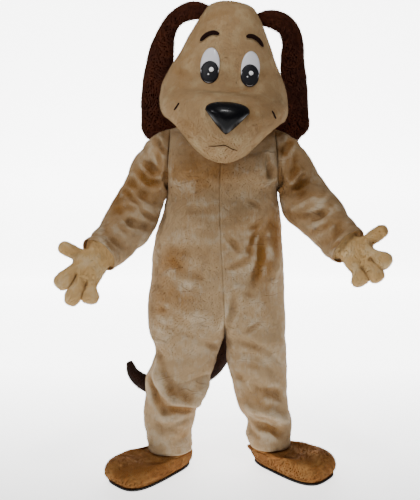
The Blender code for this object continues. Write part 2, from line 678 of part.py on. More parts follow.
def make_head():
    quarter = math.pi / 2
    front = np.linspace(-quarter, quarter, FRONT_COLUMNS + 1)
    middle = FRONT_COLUMNS // 2
    back_left = np.linspace(quarter, 2 * quarter, BACK_COLUMNS + 1)
    back_right = np.linspace(2 * quarter, 3 * quarter, BACK_COLUMNS + 1)
    every_row = FACE_ROWS + MUZZLE_ROWS[1:] + JAW_ROWS[1:]
    parts = (
        ("head_face", FACE_ROWS, front),
        ("head_muzzle_right", MUZZLE_ROWS, front[:middle + 1]),
        ("head_muzzle_left", MUZZLE_ROWS, front[middle:]),
        ("head_jaw_right", JAW_ROWS, front[:middle + 1]),
        ("head_jaw_left", JAW_ROWS, front[middle:]),
        ("head_back_left", every_row, back_left),
        ("head_back_right", every_row, back_right),
    )
    grids = [(head_sections(rows, angles), 1, False) for _, rows, angles in parts]
    normals = shared_normals(grids)
    made = []
    for (name, _, _), (points, _, _), normal in zip(parts, grids, normals):
        inner_shift = normal * SHELL
        outer = seam_edges_in(points, normal, False)
        if name == "head_face":
            inner_shift[0] = (0, 0, SHELL)
        if name.startswith("head_back"):
            inner_shift[0] = (0, 0, SHELL)
        if name.startswith(("head_jaw", "head_back")):
            outer[-1] = points[-1] + (outer[-1] - points[-1]) * np.array((1, 1, 0))
        made.append(wall(name, outer, outer - inner_shift, False, "head_plush"))
    return made


def face_ring(across, up, half_width, half_height, sides):
    """An outline on the face, in the head's own frame before it is turned."""
    angle = np.linspace(0, 2 * math.pi, sides, endpoint=False)
    return np.stack([across + half_width * np.cos(angle), up + half_height * np.sin(angle)], -1)


def on_face(flat):
    """Face points (across, up) turned with the head, ahead of the face."""
    y = np.full(flat.shape[:-1], AHEAD_OF_FACE)
    return turned_head(np.stack([flat[..., 0], y, flat[..., 1] + HEAD_PIVOT[2]], -1))


def raised_piece(name, flat, faces, sides, lift, carriers, finish):
    """A piece on the face: its back follows the carriers, its front stands off by the lift.

    The first of its points, as many as it has sides, are its outline."""
    ahead = np.array((0.0, 1.0, 0.0))
    tree = surface_of(*carriers)
    start = on_face(flat)
    back = start + ahead * gap_along(tree, start, ahead)[:, None]
    faces = [(f[0], f[n], f[n + 1]) for f in faces for n in range(1, len(f) - 1)]
    back = back + ahead * (gap_along(tree, between(back, faces), ahead).min() - SEAT_GAP)
    front = back - ahead * lift[:, None]
    count = len(back)
    edge = []
    for j in range(sides):
        k = (j + 1) % sides
        edge += [(j, k, k + count), (j, k + count, j + count)]
    faces = faces + [tuple(n + count for n in face[::-1]) for face in faces] + edge
    return add_piece(name, np.concatenate([back, front]), faces, finish)


def badge(name, rings, rises, carriers, finish):
    """A domed piece of nested outlines about a centre, each with its own height."""
    sides = len(rings[0])
    flat = np.concatenate([*rings, rings[-1].mean(0)[None]])
    last = (len(rings) - 1) * sides
    faces = grid_faces(len(rings), sides, True)
    faces += [(last + j, len(flat) - 1, last + (j + 1) % sides) for j in range(sides)]
    lift = np.repeat(np.array(rises), [sides] * len(rings) + [1])
    return raised_piece(name, flat, faces, sides, lift, carriers, finish)


def eye_rings(side, sizes, shares, sides):
    across, up, half_width, half_height = sizes
    return [face_ring(side * across, up, half_width * k, half_height * k, sides) for k in shares]


def make_face(face, muzzle):
    for side, word in ((-1, "right"), (1, "left")):
        rings = eye_rings(side, EYE_WHITE, EYE_WHITE_RINGS, 20)
        white = badge("eye_white_" + word, rings, EYE_WHITE_RISES, face, "eye_white")
        rings = eye_rings(side, EYE_PUPIL, EYE_PUPIL_RINGS, 16)
        badge("pupil_" + word, rings, EYE_PUPIL_RISES, (white,), "black_plastic")
        make_brow("brow_" + word, side, face)
    across, up, half_width, above, below = NOSE
    angle = np.linspace(0, 2 * math.pi, NOSE_SIDES, endpoint=False)
    c, s = np.cos(angle), np.sin(angle)
    height = np.where(s >= 0, above * np.abs(s), -below * (1 - np.abs(c) ** NOSE_POINT))
    middle = np.array((0, -below / 4))
    outline = np.stack([half_width * c, height], -1) - middle
    rings = [outline * share + middle + np.array((across, up)) for share in NOSE_RINGS]
    badge("nose", rings, NOSE_RISES, muzzle, "black_plastic")


def make_brow(name, side, carriers):
    rows = through(numbered(BROW), np.linspace(0, len(BROW) - 1, BROW_ROWS))
    along = unit(np.gradient(rows, axis=0))
    across = np.stack([-along[:, 1], along[:, 0]], -1)
    taper = np.sqrt(1 - np.linspace(-BROW_ENDS, BROW_ENDS, BROW_ROWS) ** 2)
    half = across * (BROW_WIDTH / 2 * taper)[:, None]
    ring = np.concatenate([rows + half, (rows - half)[::-1]])
    middle = np.concatenate([rows, rows[::-1]])
    flat = np.concatenate([ring, ring * 0.4 + middle * 0.6]) * np.array((side, 1))
    sides = 2 * BROW_ROWS
    faces = grid_faces(2, sides, True)
    for n in range(BROW_ROWS - 1):
        faces.append((sides + n, sides + n + 1, 2 * sides - 2 - n, 2 * sides - 1 - n))
    lift = np.repeat((0.6 * BROW_THICKNESS, BROW_THICKNESS), sides)
    return raised_piece(name, flat, faces, sides, lift, carriers, "brow_felt")


# ---- Ears, tail ----


def seat_ring(ring, heading, tree):
    """The ring moved along the heading until its end face just clears the carrier."""
    ring = ring + heading * gap_along(tree, ring, heading)[:, None]
    centre = ring.mean(0)
    points = np.concatenate([ring, centre[None]])
    sides = len(ring)
    cap = [(j, (j + 1) % sides, sides) for j in range(sides)]
    clear = gap_along(tree, between(points, cap, 24), heading).min() - SEAT_GAP
    return ring + heading * clear


def make_ear(name, side, table, tree):
    rows = through(numbered(table), np.linspace(0, len(table) - 1, EAR_ROWS + 1))
    path = rows[:, :3]
    along = unit(np.gradient(path, axis=0))
    back = np.array((0, 1.0, 0))
    across = side * unit(np.cross(along, back))
    behind = unit(back - (along @ back)[:, None] * along)
    turn = np.radians(rows[:, 5, None])
    wide = across * np.cos(turn) + behind * np.sin(turn)
    thick = np.cross(along, wide)
    angle = np.linspace(0, 2 * math.pi, EAR_COLUMNS, endpoint=False)
    reach = np.sign(np.cos(angle)) * np.abs(np.cos(angle)) ** 0.85
    rings = path[:, None] + wide[:, None] * (rows[:, 3, None] * reach)[..., None]
    rings = rings + thick[:, None] * (rows[:, 4, None] * np.sin(angle))[..., None]
    heading = np.array((-side, 0.0, -0.45))
    rings[0] = seat_ring(rings[0], unit(heading), tree)
    return solid_loft(name, rings, "ear_plush")


def make_tail(tree):
    rows = through(numbered(TAIL), np.linspace(0, len(TAIL) - 1, TAIL_ROWS + 1))
    path = rows[:, :3]
    along = unit(np.gradient(path, axis=0))
    up = unit(np.array((0, 1.0, 0.0)) - along[:, 1:2] * along)
    aside = np.cross(along, up)
    angle = np.linspace(0, 2 * math.pi, TAIL_COLUMNS, endpoint=False)
    rings = path[:, None] + up[:, None] * (rows[:, 3, None] * np.cos(angle))[..., None]
    rings = rings + aside[:, None] * (rows[:, 3, None] * np.sin(angle))[..., None]
    heading = np.array((0.0, -1.0, 0.0))
    rings[0] = np.stack([rings[0][:, 0], np.full(TAIL_COLUMNS, 0.30),
                         rows[0, 2] + rows[0, 3] * np.cos(angle)], -1)
    rings[0] = seat_ring(rings[0], heading, tree)
    return solid_loft("tail", rings, "tail_plush")


# ---- Gloves: a cage of a palm with a thumb and three fingers, rounded off, hollow ----


def make_glove(name, side, hand, cuff_ring):
    at = {key: np.array(place) * np.array((side, 1, 1)) for key, place in hand.items()}
    down = unit(at["knuckles"] - at["wrist"])
    spread = at["last"] - at["first"]
    spread = unit(spread - (spread @ down) * down)
    face = unit(np.cross(down, spread))
    if face[1] > 0:
        face = -face
    bm = bmesh.new()
    stations = []
    for share, wide, thick in PALM:
        centre = at["wrist"] * (1 - share) + at["knuckles"] * share
        ring = []
        across, deep = spread * wide * PALM_WIDTH / 2, face * thick * PALM_THICKNESS / 2
        for u, v in PALM_CORNERS:
            ring.append(bm.verts.new(centre + across * u + deep * v))
        stations.append(ring)
    for lower, upper in zip(stations, stations[1:]):
        for k in range(8):
            m = (k + 1) % 8
            bm.faces.new((lower[k], lower[m], upper[m], upper[k]))
    end = stations[-1]
    digits = (("first", 0), ("middle", 1), ("last", 2))
    for finger, k in digits:
        base = [end[k], end[k + 1], end[6 - k], end[7 - k]]
        grow_digit(bm, base, at[finger], face)
    edge = {stations[1][7], stations[1][0], stations[2][0], stations[2][7]}
    thumb_face = next(f for f in bm.faces if set(f.verts) == edge)
    base = list(thumb_face.verts)
    bm.faces.remove(thumb_face)
    grow_digit(bm, base, at["thumb"], face)
    bmesh.ops.recalc_face_normals(bm, faces=bm.faces)
    mesh = bpy.data.meshes.new(name)
    bm.to_mesh(mesh)
    bm.free()
    cage = bpy.data.objects.new(name + "_cage", mesh)
    bpy.context.scene.collection.objects.link(cage)
    smooth = cage.modifiers.new("round", "SUBSURF")
    smooth.levels = smooth.render_levels = 1
    graph = bpy.context.evaluated_depsgraph_get()
    rounded = bpy.data.meshes.new_from_object(cage.evaluated_get(graph))
    bpy.data.objects.remove(cage)
    rounded.name = name
    bm = bmesh.new()
    bm.from_mesh(rounded)
    rim = [v for v in bm.verts if v.is_boundary]
    fit_to_ring(rim, cuff_ring)
    bmesh.ops.recalc_face_normals(bm, faces=bm.faces)
    bm.to_mesh(rounded)
    bm.free()
    thick = bpy.data.objects.new(name + "_wall", rounded)
    costume.objects.link(thick)
    wall_of = thick.modifiers.new("wall", "SOLIDIFY")
    wall_of.thickness = GLOVE_WALL
    wall_of.offset = -1
    graph = bpy.context.evaluated_depsgraph_get()
    solid = bpy.data.meshes.new_from_object(thick.evaluated_get(graph))
    bpy.data.objects.remove(thick)
    knuckle_line = at["wrist"] * (1 - GLOVE_CUT) + at["knuckles"] * GLOVE_CUT
    tips = unit((at["first"] + at["middle"] + at["last"]) / 3 - at["knuckles"])
    for ending, way in (("_palm", -1), ("_fingers", 1)):
        half_of_glove(name + ending, solid, knuckle_line + tips * way * SEAM_GAP / 2, tips * way)


def half_of_glove(name, solid, place, heading):
    """The part of the glove's wall that lies beyond a place in the heading, closed there."""
    bm = bmesh.new()
    bm.from_mesh(solid)
    everything = [*bm.verts, *bm.edges, *bm.faces]
    bmesh.ops.bisect_plane(bm, geom=everything, plane_co=place, plane_no=heading, clear_inner=True)
    bmesh.ops.bridge_loops(bm, edges=[edge for edge in bm.edges if edge.is_boundary])
    points = [vertex.co.copy() for vertex in bm.verts]
    faces = [[vertex.index for vertex in face.verts] for face in bm.faces]
    bm.free()
    add_piece(name, points, faces, "glove_plush")


def grow_digit(bm, base, tip, face):
    """A finger as three rings grown from four corners of the palm towards its tip."""
    corners = np.array([v.co for v in base])
    start = corners.mean(0)
    along = unit(tip - start)
    length = np.linalg.norm(tip - start)
    side_axis = unit(np.cross(along, face))
    up_axis = np.cross(side_axis, along)
    flat = np.stack([(corners - start) @ side_axis, (corners - start) @ up_axis], -1)
    signs = np.sign(flat)
    previous = base
    for share, radius in DIGIT:
        centre = start + along * length * share
        ring = [bm.verts.new(centre + (side_axis * u + up_axis * v) * radius) for u, v in signs]
        for k in range(4):
            m = (k + 1) % 4
            bm.faces.new((previous[k], previous[m], ring[m], ring[k]))
        previous = ring
    bm.faces.new(previous)


def fit_to_ring(rim, ring):
    """Moves the rim's points onto the ring's, in the order round it that turns them least."""
    centre = np.mean([v.co for v in rim], axis=0)
    ordered = [rim[0]]
    while len(ordered) < len(rim):
        last = ordered[-1]
        ordered.append(next(e.other_vert(last) for e in last.link_edges
                            if e.is_boundary and e.other_vert(last) not in ordered))
    places = np.array([v.co for v in ordered]) - centre
    best = None
    for way in (1, -1):
        for shift in range(len(ring)):
            trial = np.roll(ring[::way], shift, axis=0)
            cost = ((unit(trial - ring.mean(0)) - unit(places)) ** 2).sum()
            if best is None or cost < best[0]:
                best = (cost, trial)
    for vertex, place in zip(ordered, best[1]):
        vertex.co = place


# ---- Feet ----


def ring_hit(polygon, centre, heading):
    """Where a level line from the centre meets the polygon, seen from above."""
    best = None
    for a, b in zip(polygon, np.roll(polygon, -1, axis=0)):
        edge, start = (b - a)[:2], (a - centre)[:2]
        turn = heading[0] * edge[1] - heading[1] * edge[0]
        if abs(turn) < 1e-12:
            continue
        far = (start[0] * edge[1] - start[1] * edge[0]) / turn
        share = (start[0] * heading[1] - start[1] * heading[0]) / turn
        if far > 0 and -1e-9 <= share <= 1 + 1e-9:
            best = far if best is None else min(best, far)
    return best


def make_foot(side, ankle_x, ankle_y, turn, reach, tall, shift, inner_rings):
    word = "left" if side > 0 else "right"
    toe = np.array((side * math.sin(turn), -math.cos(turn), 0))
    aside = np.array((math.cos(turn), side * math.sin(turn), 0))
    centre = np.array((ankle_x, ankle_y, 0))
    angle = np.linspace(0, 2 * math.pi, FOOT_COLUMNS, endpoint=False)
    c, s = np.cos(angle), np.sin(angle)
    tread = SOLE_THICKNESS + SEAT_GAP
    rings = []
    for level, (toe_z, heel_z, toe_reach, heel_reach, half, heel_width) in enumerate(FOOT):
        toe_reach = toe_reach * reach
        along = np.where(c > 0, toe_reach * np.abs(c) ** 0.5, -heel_reach * np.abs(c) ** 0.9)
        share = (along + heel_reach) / (toe_reach + heel_reach)
        across = half * np.sign(s) * np.abs(s) ** 0.65 * (heel_width + (1 - heel_width) * share)
        across = across + side * shift * (1 - level / (len(FOOT) - 1))
        z = heel_z + (toe_z - heel_z) * (0.5 + 0.5 * np.clip(along / toe_reach, -1, 1))
        ring = centre + along[:, None] * toe + across[:, None] * aside
        ring[:, 2] = tread + (z - tread) * tall
        rings.append(ring)
    for inner, inset, drop in inner_rings:
        height = inner[:, 2].mean() - drop
        ring = []
        for k in range(FOOT_COLUMNS):
            heading = toe * c[k] + aside * s[k]
            far = ring_hit(inner, centre, heading) - inset
            ring.append(centre + heading * far + np.array((0, 0, height)))
        rings.append(np.array(ring))
    grid = np.array(rings)
    normals = shared_normals([(grid, side, True)])[0]
    outward = (normals[1] * (grid[1] - centre)).sum()
    if outward < 0:
        normals = -normals
    normals[0, :, 2] = 0
    normals[0] = unit(normals[0])
    wall("foot_upper_" + word, grid, grid - normals * PLUSH, True, "foot_plush")
    edge = centre + (grid[0] - centre) * np.array((1, 1, 0))
    out = unit((edge - edge.mean(0)) * np.array((1, 1, 0)))
    top = edge + out * SOLE_MARGIN + np.array((0, 0, SOLE_THICKNESS))
    bottom = edge + out * SOLE_MARGIN * 0.4
    solid_loft("foot_sole_" + word, np.array([bottom, top]), "sole_rubber")


# ---- Building the costume ----

for old in list(bpy.data.objects):
    bpy.data.objects.remove(old, do_unlink=True)
costume = bpy.data.collections.new("dog_mascot_costume")
bpy.context.scene.collection.children.link(costume)
floor_mark = bpy.data.objects.new("floor_mark", None)
floor_mark.location = (0, 0, -SHOULDER_HEIGHT)
costume.objects.link(floor_mark)

QUARTERS = (
    ("front_right", -1, -1),
    ("front_left", 1, -1),
    ("back_right", -1, 1),
    ("back_left", 1, 1),
)
SLEEVES = (("sleeve_right", -1, RIGHT_SLEEVE_FOLDS), ("sleeve_left", 1, LEFT_SLEEVE_FOLDS))

suit = [(quarter_panel(side, face), -side * face, False) for _, side, face in QUARTERS]
for _, side, _ in SLEEVES:
    beside = [points for points, sign, _ in suit[:4] if points[-1, -1, 0] * side > 0]
    suit.append((sleeve_grid(side, beside), side, True))
normals = shared_normals(suit)
folds = [BODY_FOLDS] * 4 + [RIGHT_SLEEVE_FOLDS, LEFT_SLEEVE_FOLDS]
creased = []
for (points, sign, wraps), normal, table in zip(suit, normals, folds):
    raised = folded(points, normal, table)
    if wraps:
        raised[0] = points[0]
        raised[1] = (raised[1] + points[1]) / 2
    else:
        top = SHOULDER_ROWS + ARMHOLE_ROWS + 2
        raised[:2] = points[:2]
        raised[:top, -1] = points[:top, -1]
    creased.append((raised, sign, wraps))
normals = shared_normals(creased)

armpit = 1 + SHOULDER_ROWS + ARMHOLE_ROWS
crotch = armpit + len(TORSO_LEVELS) - 1 + len(RISE_LEVELS)
PANEL_PARTS = (
    ("_top", 0, armpit + 1),
    ("_middle", armpit + 1, crotch + 2),
    ("_leg", crotch + 2, crotch + LEG_ROWS),
)
SLEEVE_PARTS = (("_upper", 0, ELBOW_ROW), ("_lower", ELBOW_ROW, SLEEVE_ROWS))
inner_walls = {}
panels = {}
names = [quarter[0] for quarter in QUARTERS] + [sleeve[0] for sleeve in SLEEVES]
for name, (points, _, wraps), normal in zip(names, creased, normals):
    if not wraps:
        normal[0] = unit(np.array((0, -NECK_SLOPE, 1.0)))
    for ending, first, last in SLEEVE_PARTS if wraps else PANEL_PARTS:
        rows = slice(first, last + 1)
        outer = seam_edges_in(points[rows], normal[rows], wraps)
        if ending == "_top":
            outer[armpit, -1] += unit(outer[armpit + 1, -1] - outer[armpit, -1]) * SEAM_GAP
        inner = outer - normal[rows] * PLUSH
        inner_walls[name + ending] = inner
        panels[name + ending] = wall(name + ending, outer, inner, wraps, "plush")

head_pieces = make_head()
make_face(head_pieces[:1], head_pieces[1:3])
head_tree = surface_of(*head_pieces)
make_ear("ear_right", -1, RIGHT_EAR, head_tree)
make_ear("ear_left", 1, LEFT_EAR, head_tree)
make_tail(surface_of(panels["back_right_middle"], panels["back_left_middle"]))

for name, side, hand in (("glove_right", -1, RIGHT_HAND), ("glove_left", 1, LEFT_HAND)):
    cuff = inner_walls["sleeve_right_lower" if side < 0 else "sleeve_left_lower"][-2]
    ring = cuff + unit(cuff.mean(0) - cuff) * SEAT_GAP
    make_glove(name, side, hand, ring)

for side, ankle_x, ankle_y, turn, reach, tall, shift in FOOT_PLACES:
    word = "left" if side > 0 else "right"
    front, back = inner_walls["front_%s_leg" % word], inner_walls["back_%s_leg" % word]
    rings = []
    for row, inset, drop in ((-1, 0.005, COLLAR_DROP), (-2, SEAT_GAP, 0.0), (-3, 0.008, 0.0)):
        rings.append((np.concatenate([front[row], back[row][::-1]]), inset, drop))
    make_foot(side, ankle_x, ankle_y, turn, reach, tall, shift, rings)
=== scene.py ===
"""Looks of the dog mascot costume: short plush with a brushed nap, a foam head with hard
eyes and nose, long dark ears, mitts, padded feet and a tail. Lengths are in metres.

Heights in the tables are above the floor; the costume's origin is the middle of the shoulders.
"""
import math

import bmesh
import bpy
import numpy as np
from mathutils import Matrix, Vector, noise
from mathutils.bvhtree import BVHTree


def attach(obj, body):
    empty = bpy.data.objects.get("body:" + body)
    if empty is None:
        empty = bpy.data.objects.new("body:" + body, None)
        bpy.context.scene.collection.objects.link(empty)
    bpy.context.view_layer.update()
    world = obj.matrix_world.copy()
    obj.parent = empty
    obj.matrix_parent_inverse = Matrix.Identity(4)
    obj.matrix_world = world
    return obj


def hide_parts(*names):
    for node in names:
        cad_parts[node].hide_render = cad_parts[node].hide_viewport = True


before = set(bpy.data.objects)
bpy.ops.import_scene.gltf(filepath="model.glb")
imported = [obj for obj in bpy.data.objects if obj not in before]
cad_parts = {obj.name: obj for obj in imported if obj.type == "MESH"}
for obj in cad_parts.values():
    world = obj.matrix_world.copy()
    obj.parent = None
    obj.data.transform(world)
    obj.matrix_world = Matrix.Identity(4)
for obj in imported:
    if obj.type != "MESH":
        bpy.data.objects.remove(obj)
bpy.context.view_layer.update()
random = np.random.default_rng(7)
noise.seed_set(7)

# ---- The suit's front and back ----
# Four quarter panels of short-pile plush from the neck band to the ankles, machine-sewn at
# the centre, sides and inseams. The nap is brushed in patches, golden where it lies open.

SHOULDER_HEIGHT = 1.36  # the origin is the middle of the shoulder line, at this height
SEAM_GAP = 0.0003
SEAT_GAP = 0.0005
WALL = 0.003  # backing and pile, pressed
# The crease values paint shade into the plush's colour; a hollow this deep gets the darkest painted shade
PILE = 0.003  # how far the skin lies under the tips of the pile
CREASE_DEPTH = 0.0026  # of a hollow that is as dark as any
CREASE_SMOOTHING = 3

PANEL_COLUMNS = 56
SHOULDER_ROWS = 8
ARMHOLE_ROWS = 36
FULLNESS = 0.92  # of a round leg or armhole; a lower one squares the section off
CROTCH_FULLNESS = 0.64
THIGH = 0.22  # below the crotch, where the legs have become round

# Suit body: height, right side x, left side x, centre seam x, front y, back y, fullness
TORSO = (
    (1.141, -0.216, 0.222, -0.012, -0.156, 0.128, 0.92),
    (1.060, -0.238, 0.232, -0.010, -0.168, 0.138, 0.92),
    (0.973, -0.266, 0.243, -0.006, -0.180, 0.148, 0.90),
    (0.818, -0.285, 0.249, 0.002, -0.190, 0.158, 0.82),
    (0.645, -0.302, 0.260, 0.010, -0.182, 0.162, 0.70),
    (0.557, -0.294, 0.256, 0.013, -0.170, 0.156, 0.64),
)
TORSO_LEVELS = np.linspace(1.141, 0.668, 66)
RISE_LEVELS = np.linspace(0.660, 0.557, 16)
RISE_TOP = 0.660
CROTCH = 0.557
CROTCH_CURVE = 2.2  # above 1 drops the centre seam steeply before it turns under

# Legs: height, inner x, outer x, front y, back y
RIGHT_LEG = (
    (0.557, 0.013, -0.294, -0.170, 0.156),
    (0.485, -0.012, -0.272, -0.166, 0.140),
    (0.440, -0.026, -0.284, -0.166, 0.128),
    (0.392, -0.046, -0.306, -0.168, 0.118),
    (0.328, -0.062, -0.316, -0.164, 0.100),
    (0.255, -0.104, -0.318, -0.152, 0.076),
    (0.195, -0.114, -0.318, -0.148, 0.060),
    (0.134, -0.119, -0.314, -0.146, 0.052),
    (0.092, -0.121, -0.310, -0.150, 0.050),
)
LEFT_LEG = (
    (0.557, 0.013, 0.256, -0.170, 0.156),
    (0.485, 0.015, 0.266, -0.164, 0.140),
    (0.440, 0.022, 0.268, -0.162, 0.128),
    (0.392, 0.032, 0.271, -0.160, 0.116),
    (0.328, 0.047, 0.271, -0.156, 0.098),
    (0.255, 0.074, 0.277, -0.150, 0.076),
    (0.195, 0.102, 0.288, -0.148, 0.060),
    (0.140, 0.100, 0.288, -0.146, 0.052),
    (0.110, 0.112, 0.284, -0.150, 0.050),
)
LEG_ROWS = 66

# Neck band, a flat ring that the head's rim rests on
NECK_CENTRE_Y = -0.010
NECK_OUTER = (0.125, 0.115)
NECK_INNER = (0.092, 0.084)
NECK_HEIGHT = 1.405
NECK_SLOPE = 0.15

ARMHOLE_CENTRE = (-0.012, 1.263)  # y, height
ARMHOLE_REACH = (0.105, 0.122)  # half depth, half height
ARMHOLE_TOP_X = 0.203

# Folds: side (-1 front, 1 back), start x, start height, end x, end height, width, depth
BODY_FOLDS = (
    (-1, 0.185, 1.265, 0.190, 1.175, 0.020, -0.010),
    (-1, 0.205, 1.050, 0.110, 0.760, 0.024, -0.009),
    (-1, 0.180, 0.960, 0.205, 0.800, 0.026, 0.007),
    (-1, -0.190, 0.860, -0.060, 0.800, 0.030, -0.005),
    (-1, -0.285, 0.475, -0.215, 0.335, 0.026, 0.016),
    (-1, -0.215, 0.335, -0.110, 0.315, 0.028, 0.018),
    (-1, -0.110, 0.315, -0.030, 0.430, 0.026, 0.012),
    (-1, -0.310, 0.415, -0.225, 0.285, 0.020, -0.010),
    (-1, -0.225, 0.285, -0.100, 0.275, 0.020, -0.010),
    (-1, -0.300, 0.220, -0.150, 0.165, 0.022, -0.007),
    (-1, 0.060, 0.400, 0.260, 0.330, 0.024, -0.009),
    (-1, 0.100, 0.290, 0.270, 0.225, 0.024, 0.010),
    (-1, 0.110, 0.220, 0.280, 0.170, 0.020, -0.009),
    (1, -0.180, 1.240, -0.160, 1.120, 0.024, -0.008),
    (1, 0.180, 1.230, 0.150, 1.110, 0.024, -0.008),
    (1, -0.240, 0.980, -0.080, 0.860, 0.028, -0.008),
    (1, 0.230, 0.960, 0.090, 0.820, 0.028, -0.007),
    (1, -0.260, 0.560, -0.060, 0.500, 0.024, -0.010),
    (1, 0.240, 0.570, 0.050, 0.505, 0.024, -0.010),
    (1, -0.300, 0.360, -0.080, 0.300, 0.026, 0.010),
    (1, 0.270, 0.350, 0.070, 0.290, 0.026, 0.010),
    (1, -0.300, 0.230, -0.130, 0.190, 0.020, -0.008),
    (1, 0.280, 0.220, 0.110, 0.185, 0.020, -0.008),
)

# Folds that show only from close by, in the same columns
FINE_FOLDS = (
    (-1, 0.010, 0.985, 0.060, 0.925, 0.009, -0.007),
    (-1, 0.090, 0.930, 0.125, 0.910, 0.009, -0.006),
    (-1, 0.025, 0.855, 0.110, 0.905, 0.010, -0.007),
    (-1, 0.105, 1.105, 0.145, 1.075, 0.009, -0.005),
    (-1, 0.105, 1.000, 0.165, 1.030, 0.009, -0.006),
    (-1, 0.062, 0.765, 0.016, 0.600, 0.012, -0.009),
    (-1, 0.036, 0.740, -0.006, 0.600, 0.018, 0.006),
    (-1, 0.098, 0.610, 0.155, 0.650, 0.010, -0.007),
    (-1, 0.060, 0.560, 0.190, 0.520, 0.016, -0.006),
    (-1, 0.150, 1.010, 0.085, 0.880, 0.016, -0.007),
    (-1, 0.218, 1.000, 0.185, 0.840, 0.016, -0.007),
    (-1, -0.175, 1.270, -0.185, 1.190, 0.014, -0.006),
    (-1, -0.120, 1.190, -0.020, 1.150, 0.024, -0.005),
    (-1, -0.160, 1.080, -0.040, 1.070, 0.020, -0.004),
    (-1, -0.190, 1.005, -0.020, 0.985, 0.018, -0.004),
    (-1, -0.230, 0.930, -0.060, 0.915, 0.018, -0.004),
    (-1, -0.270, 0.700, -0.160, 0.640, 0.020, -0.006),
    (-1, -0.230, 0.620, -0.060, 0.560, 0.018, -0.006),
    (-1, -0.060, 0.560, 0.000, 0.500, 0.014, -0.007),
    (-1, -0.300, 0.540, -0.240, 0.470, 0.016, -0.008),
    (-1, -0.250, 0.450, -0.180, 0.360, 0.014, -0.007),
    (-1, -0.180, 0.255, -0.110, 0.235, 0.012, -0.005),
    (-1, 0.080, 0.470, 0.200, 0.430, 0.016, -0.006),
    (-1, 0.150, 0.350, 0.265, 0.300, 0.012, -0.006),
    (-1, 0.120, 0.255, 0.200, 0.240, 0.012, -0.006),
    (-1, 0.200, 0.190, 0.270, 0.160, 0.012, -0.006),
    (1, -0.060, 1.180, 0.060, 1.165, 0.022, -0.005),
    (1, 0.030, 1.000, 0.150, 0.960, 0.018, -0.006),
    (1, -0.120, 0.740, 0.000, 0.690, 0.018, -0.006),
    (1, 0.040, 0.520, 0.200, 0.470, 0.016, -0.007),
    (1, -0.240, 0.500, -0.090, 0.450, 0.016, -0.007),
    (1, -0.280, 0.330, -0.150, 0.290, 0.018, -0.008),
    (1, 0.090, 0.310, 0.250, 0.280, 0.018, -0.008),
    (1, -0.260, 0.200, -0.140, 0.180, 0.014, -0.006),
    (1, 0.120, 0.210, 0.260, 0.180, 0.014, -0.006),
)
# Where the nap lies open and golden: side, x, height, reach across, reach up, strength
OPEN_NAP = (
    (-1, 0.000, 1.230, 0.300, 0.110, 0.60),
    (-1, -0.070, 1.235, 0.120, 0.075, 0.40),
    (-1, 0.000, 0.950, 0.300, 0.200, 0.25),
    (-1, -0.205, 0.880, 0.055, 0.055, 0.80),
    (-1, -0.180, 0.750, 0.090, 0.055, 0.35),
    (-1, 0.150, 0.900, 0.050, 0.140, 0.75),
    (-1, 0.215, 1.000, 0.030, 0.120, 0.60),
    (-1, -0.220, 0.340, 0.060, 0.050, 0.45),
    (-1, -0.150, 0.290, 0.060, 0.040, 0.50),
    (-1, 0.160, 0.330, 0.090, 0.045, 0.55),
    (-1, 0.200, 0.200, 0.070, 0.040, 0.40),
    (1, 0.000, 1.230, 0.300, 0.110, 0.60),
    (1, 0.000, 0.950, 0.300, 0.200, 0.25),
    (1, -0.120, 0.900, 0.090, 0.080, 0.60),
    (1, 0.130, 0.700, 0.080, 0.080, 0.50),
    (1, -0.190, 0.360, 0.080, 0.060, 0.50),
    (1, 0.170, 0.340, 0.080, 0.060, 0.50),
)


def linear(colour):
    """An sRGB hex colour as linear red, green, blue and alpha."""
    parts = [int(colour[n:n + 2], 16) / 255 for n in (1, 3, 5)]
    return (*[p / 12.92 if p <= 0.04045 else ((p + 0.055) / 1.055) ** 2.4 for p in parts], 1.0)


def add_node(tree, kind, inputs=(), **settings):
    """A node with its settings, its inputs given as values or as sockets to join."""
    node = tree.nodes.new(kind)
    for key, value in settings.items():
        setattr(node, key, value)
    for key, value in inputs:
        if isinstance(value, bpy.types.NodeSocket):
            tree.links.new(value, node.inputs[key])
        else:
            node.inputs[key].default_value = value
    return node


def sum_of(tree, *terms):
    """The terms (socket, factor, offset) added up, each as socket times factor plus offset."""
    total = 0.0
    for socket, factor, offset in terms:
        total = add_node(tree, "ShaderNodeMath", ((0, total), (1, offset)), operation="ADD").outputs[0]
        total = add_node(tree, "ShaderNodeMath", ((0, socket), (1, factor), (2, total)),
                         operation="MULTIPLY_ADD").outputs[0]
    return total


# The plush's patterns in millimetres: streaks brushed into the nap, its mottling, combed
# strands, tufts (the real fibres are too fine to show) and wandering creases, painted as thin lines of shade
STREAKS = 83.3
MOTTLING = 29.4
STRANDS = 6.67
TUFTS = 3.03
CREASES = 125.0
STRAND_STRETCH = 0.14  # upward, below 1 draws a pattern out and above 1 flattens it
CREASE_STRETCH = 2.4


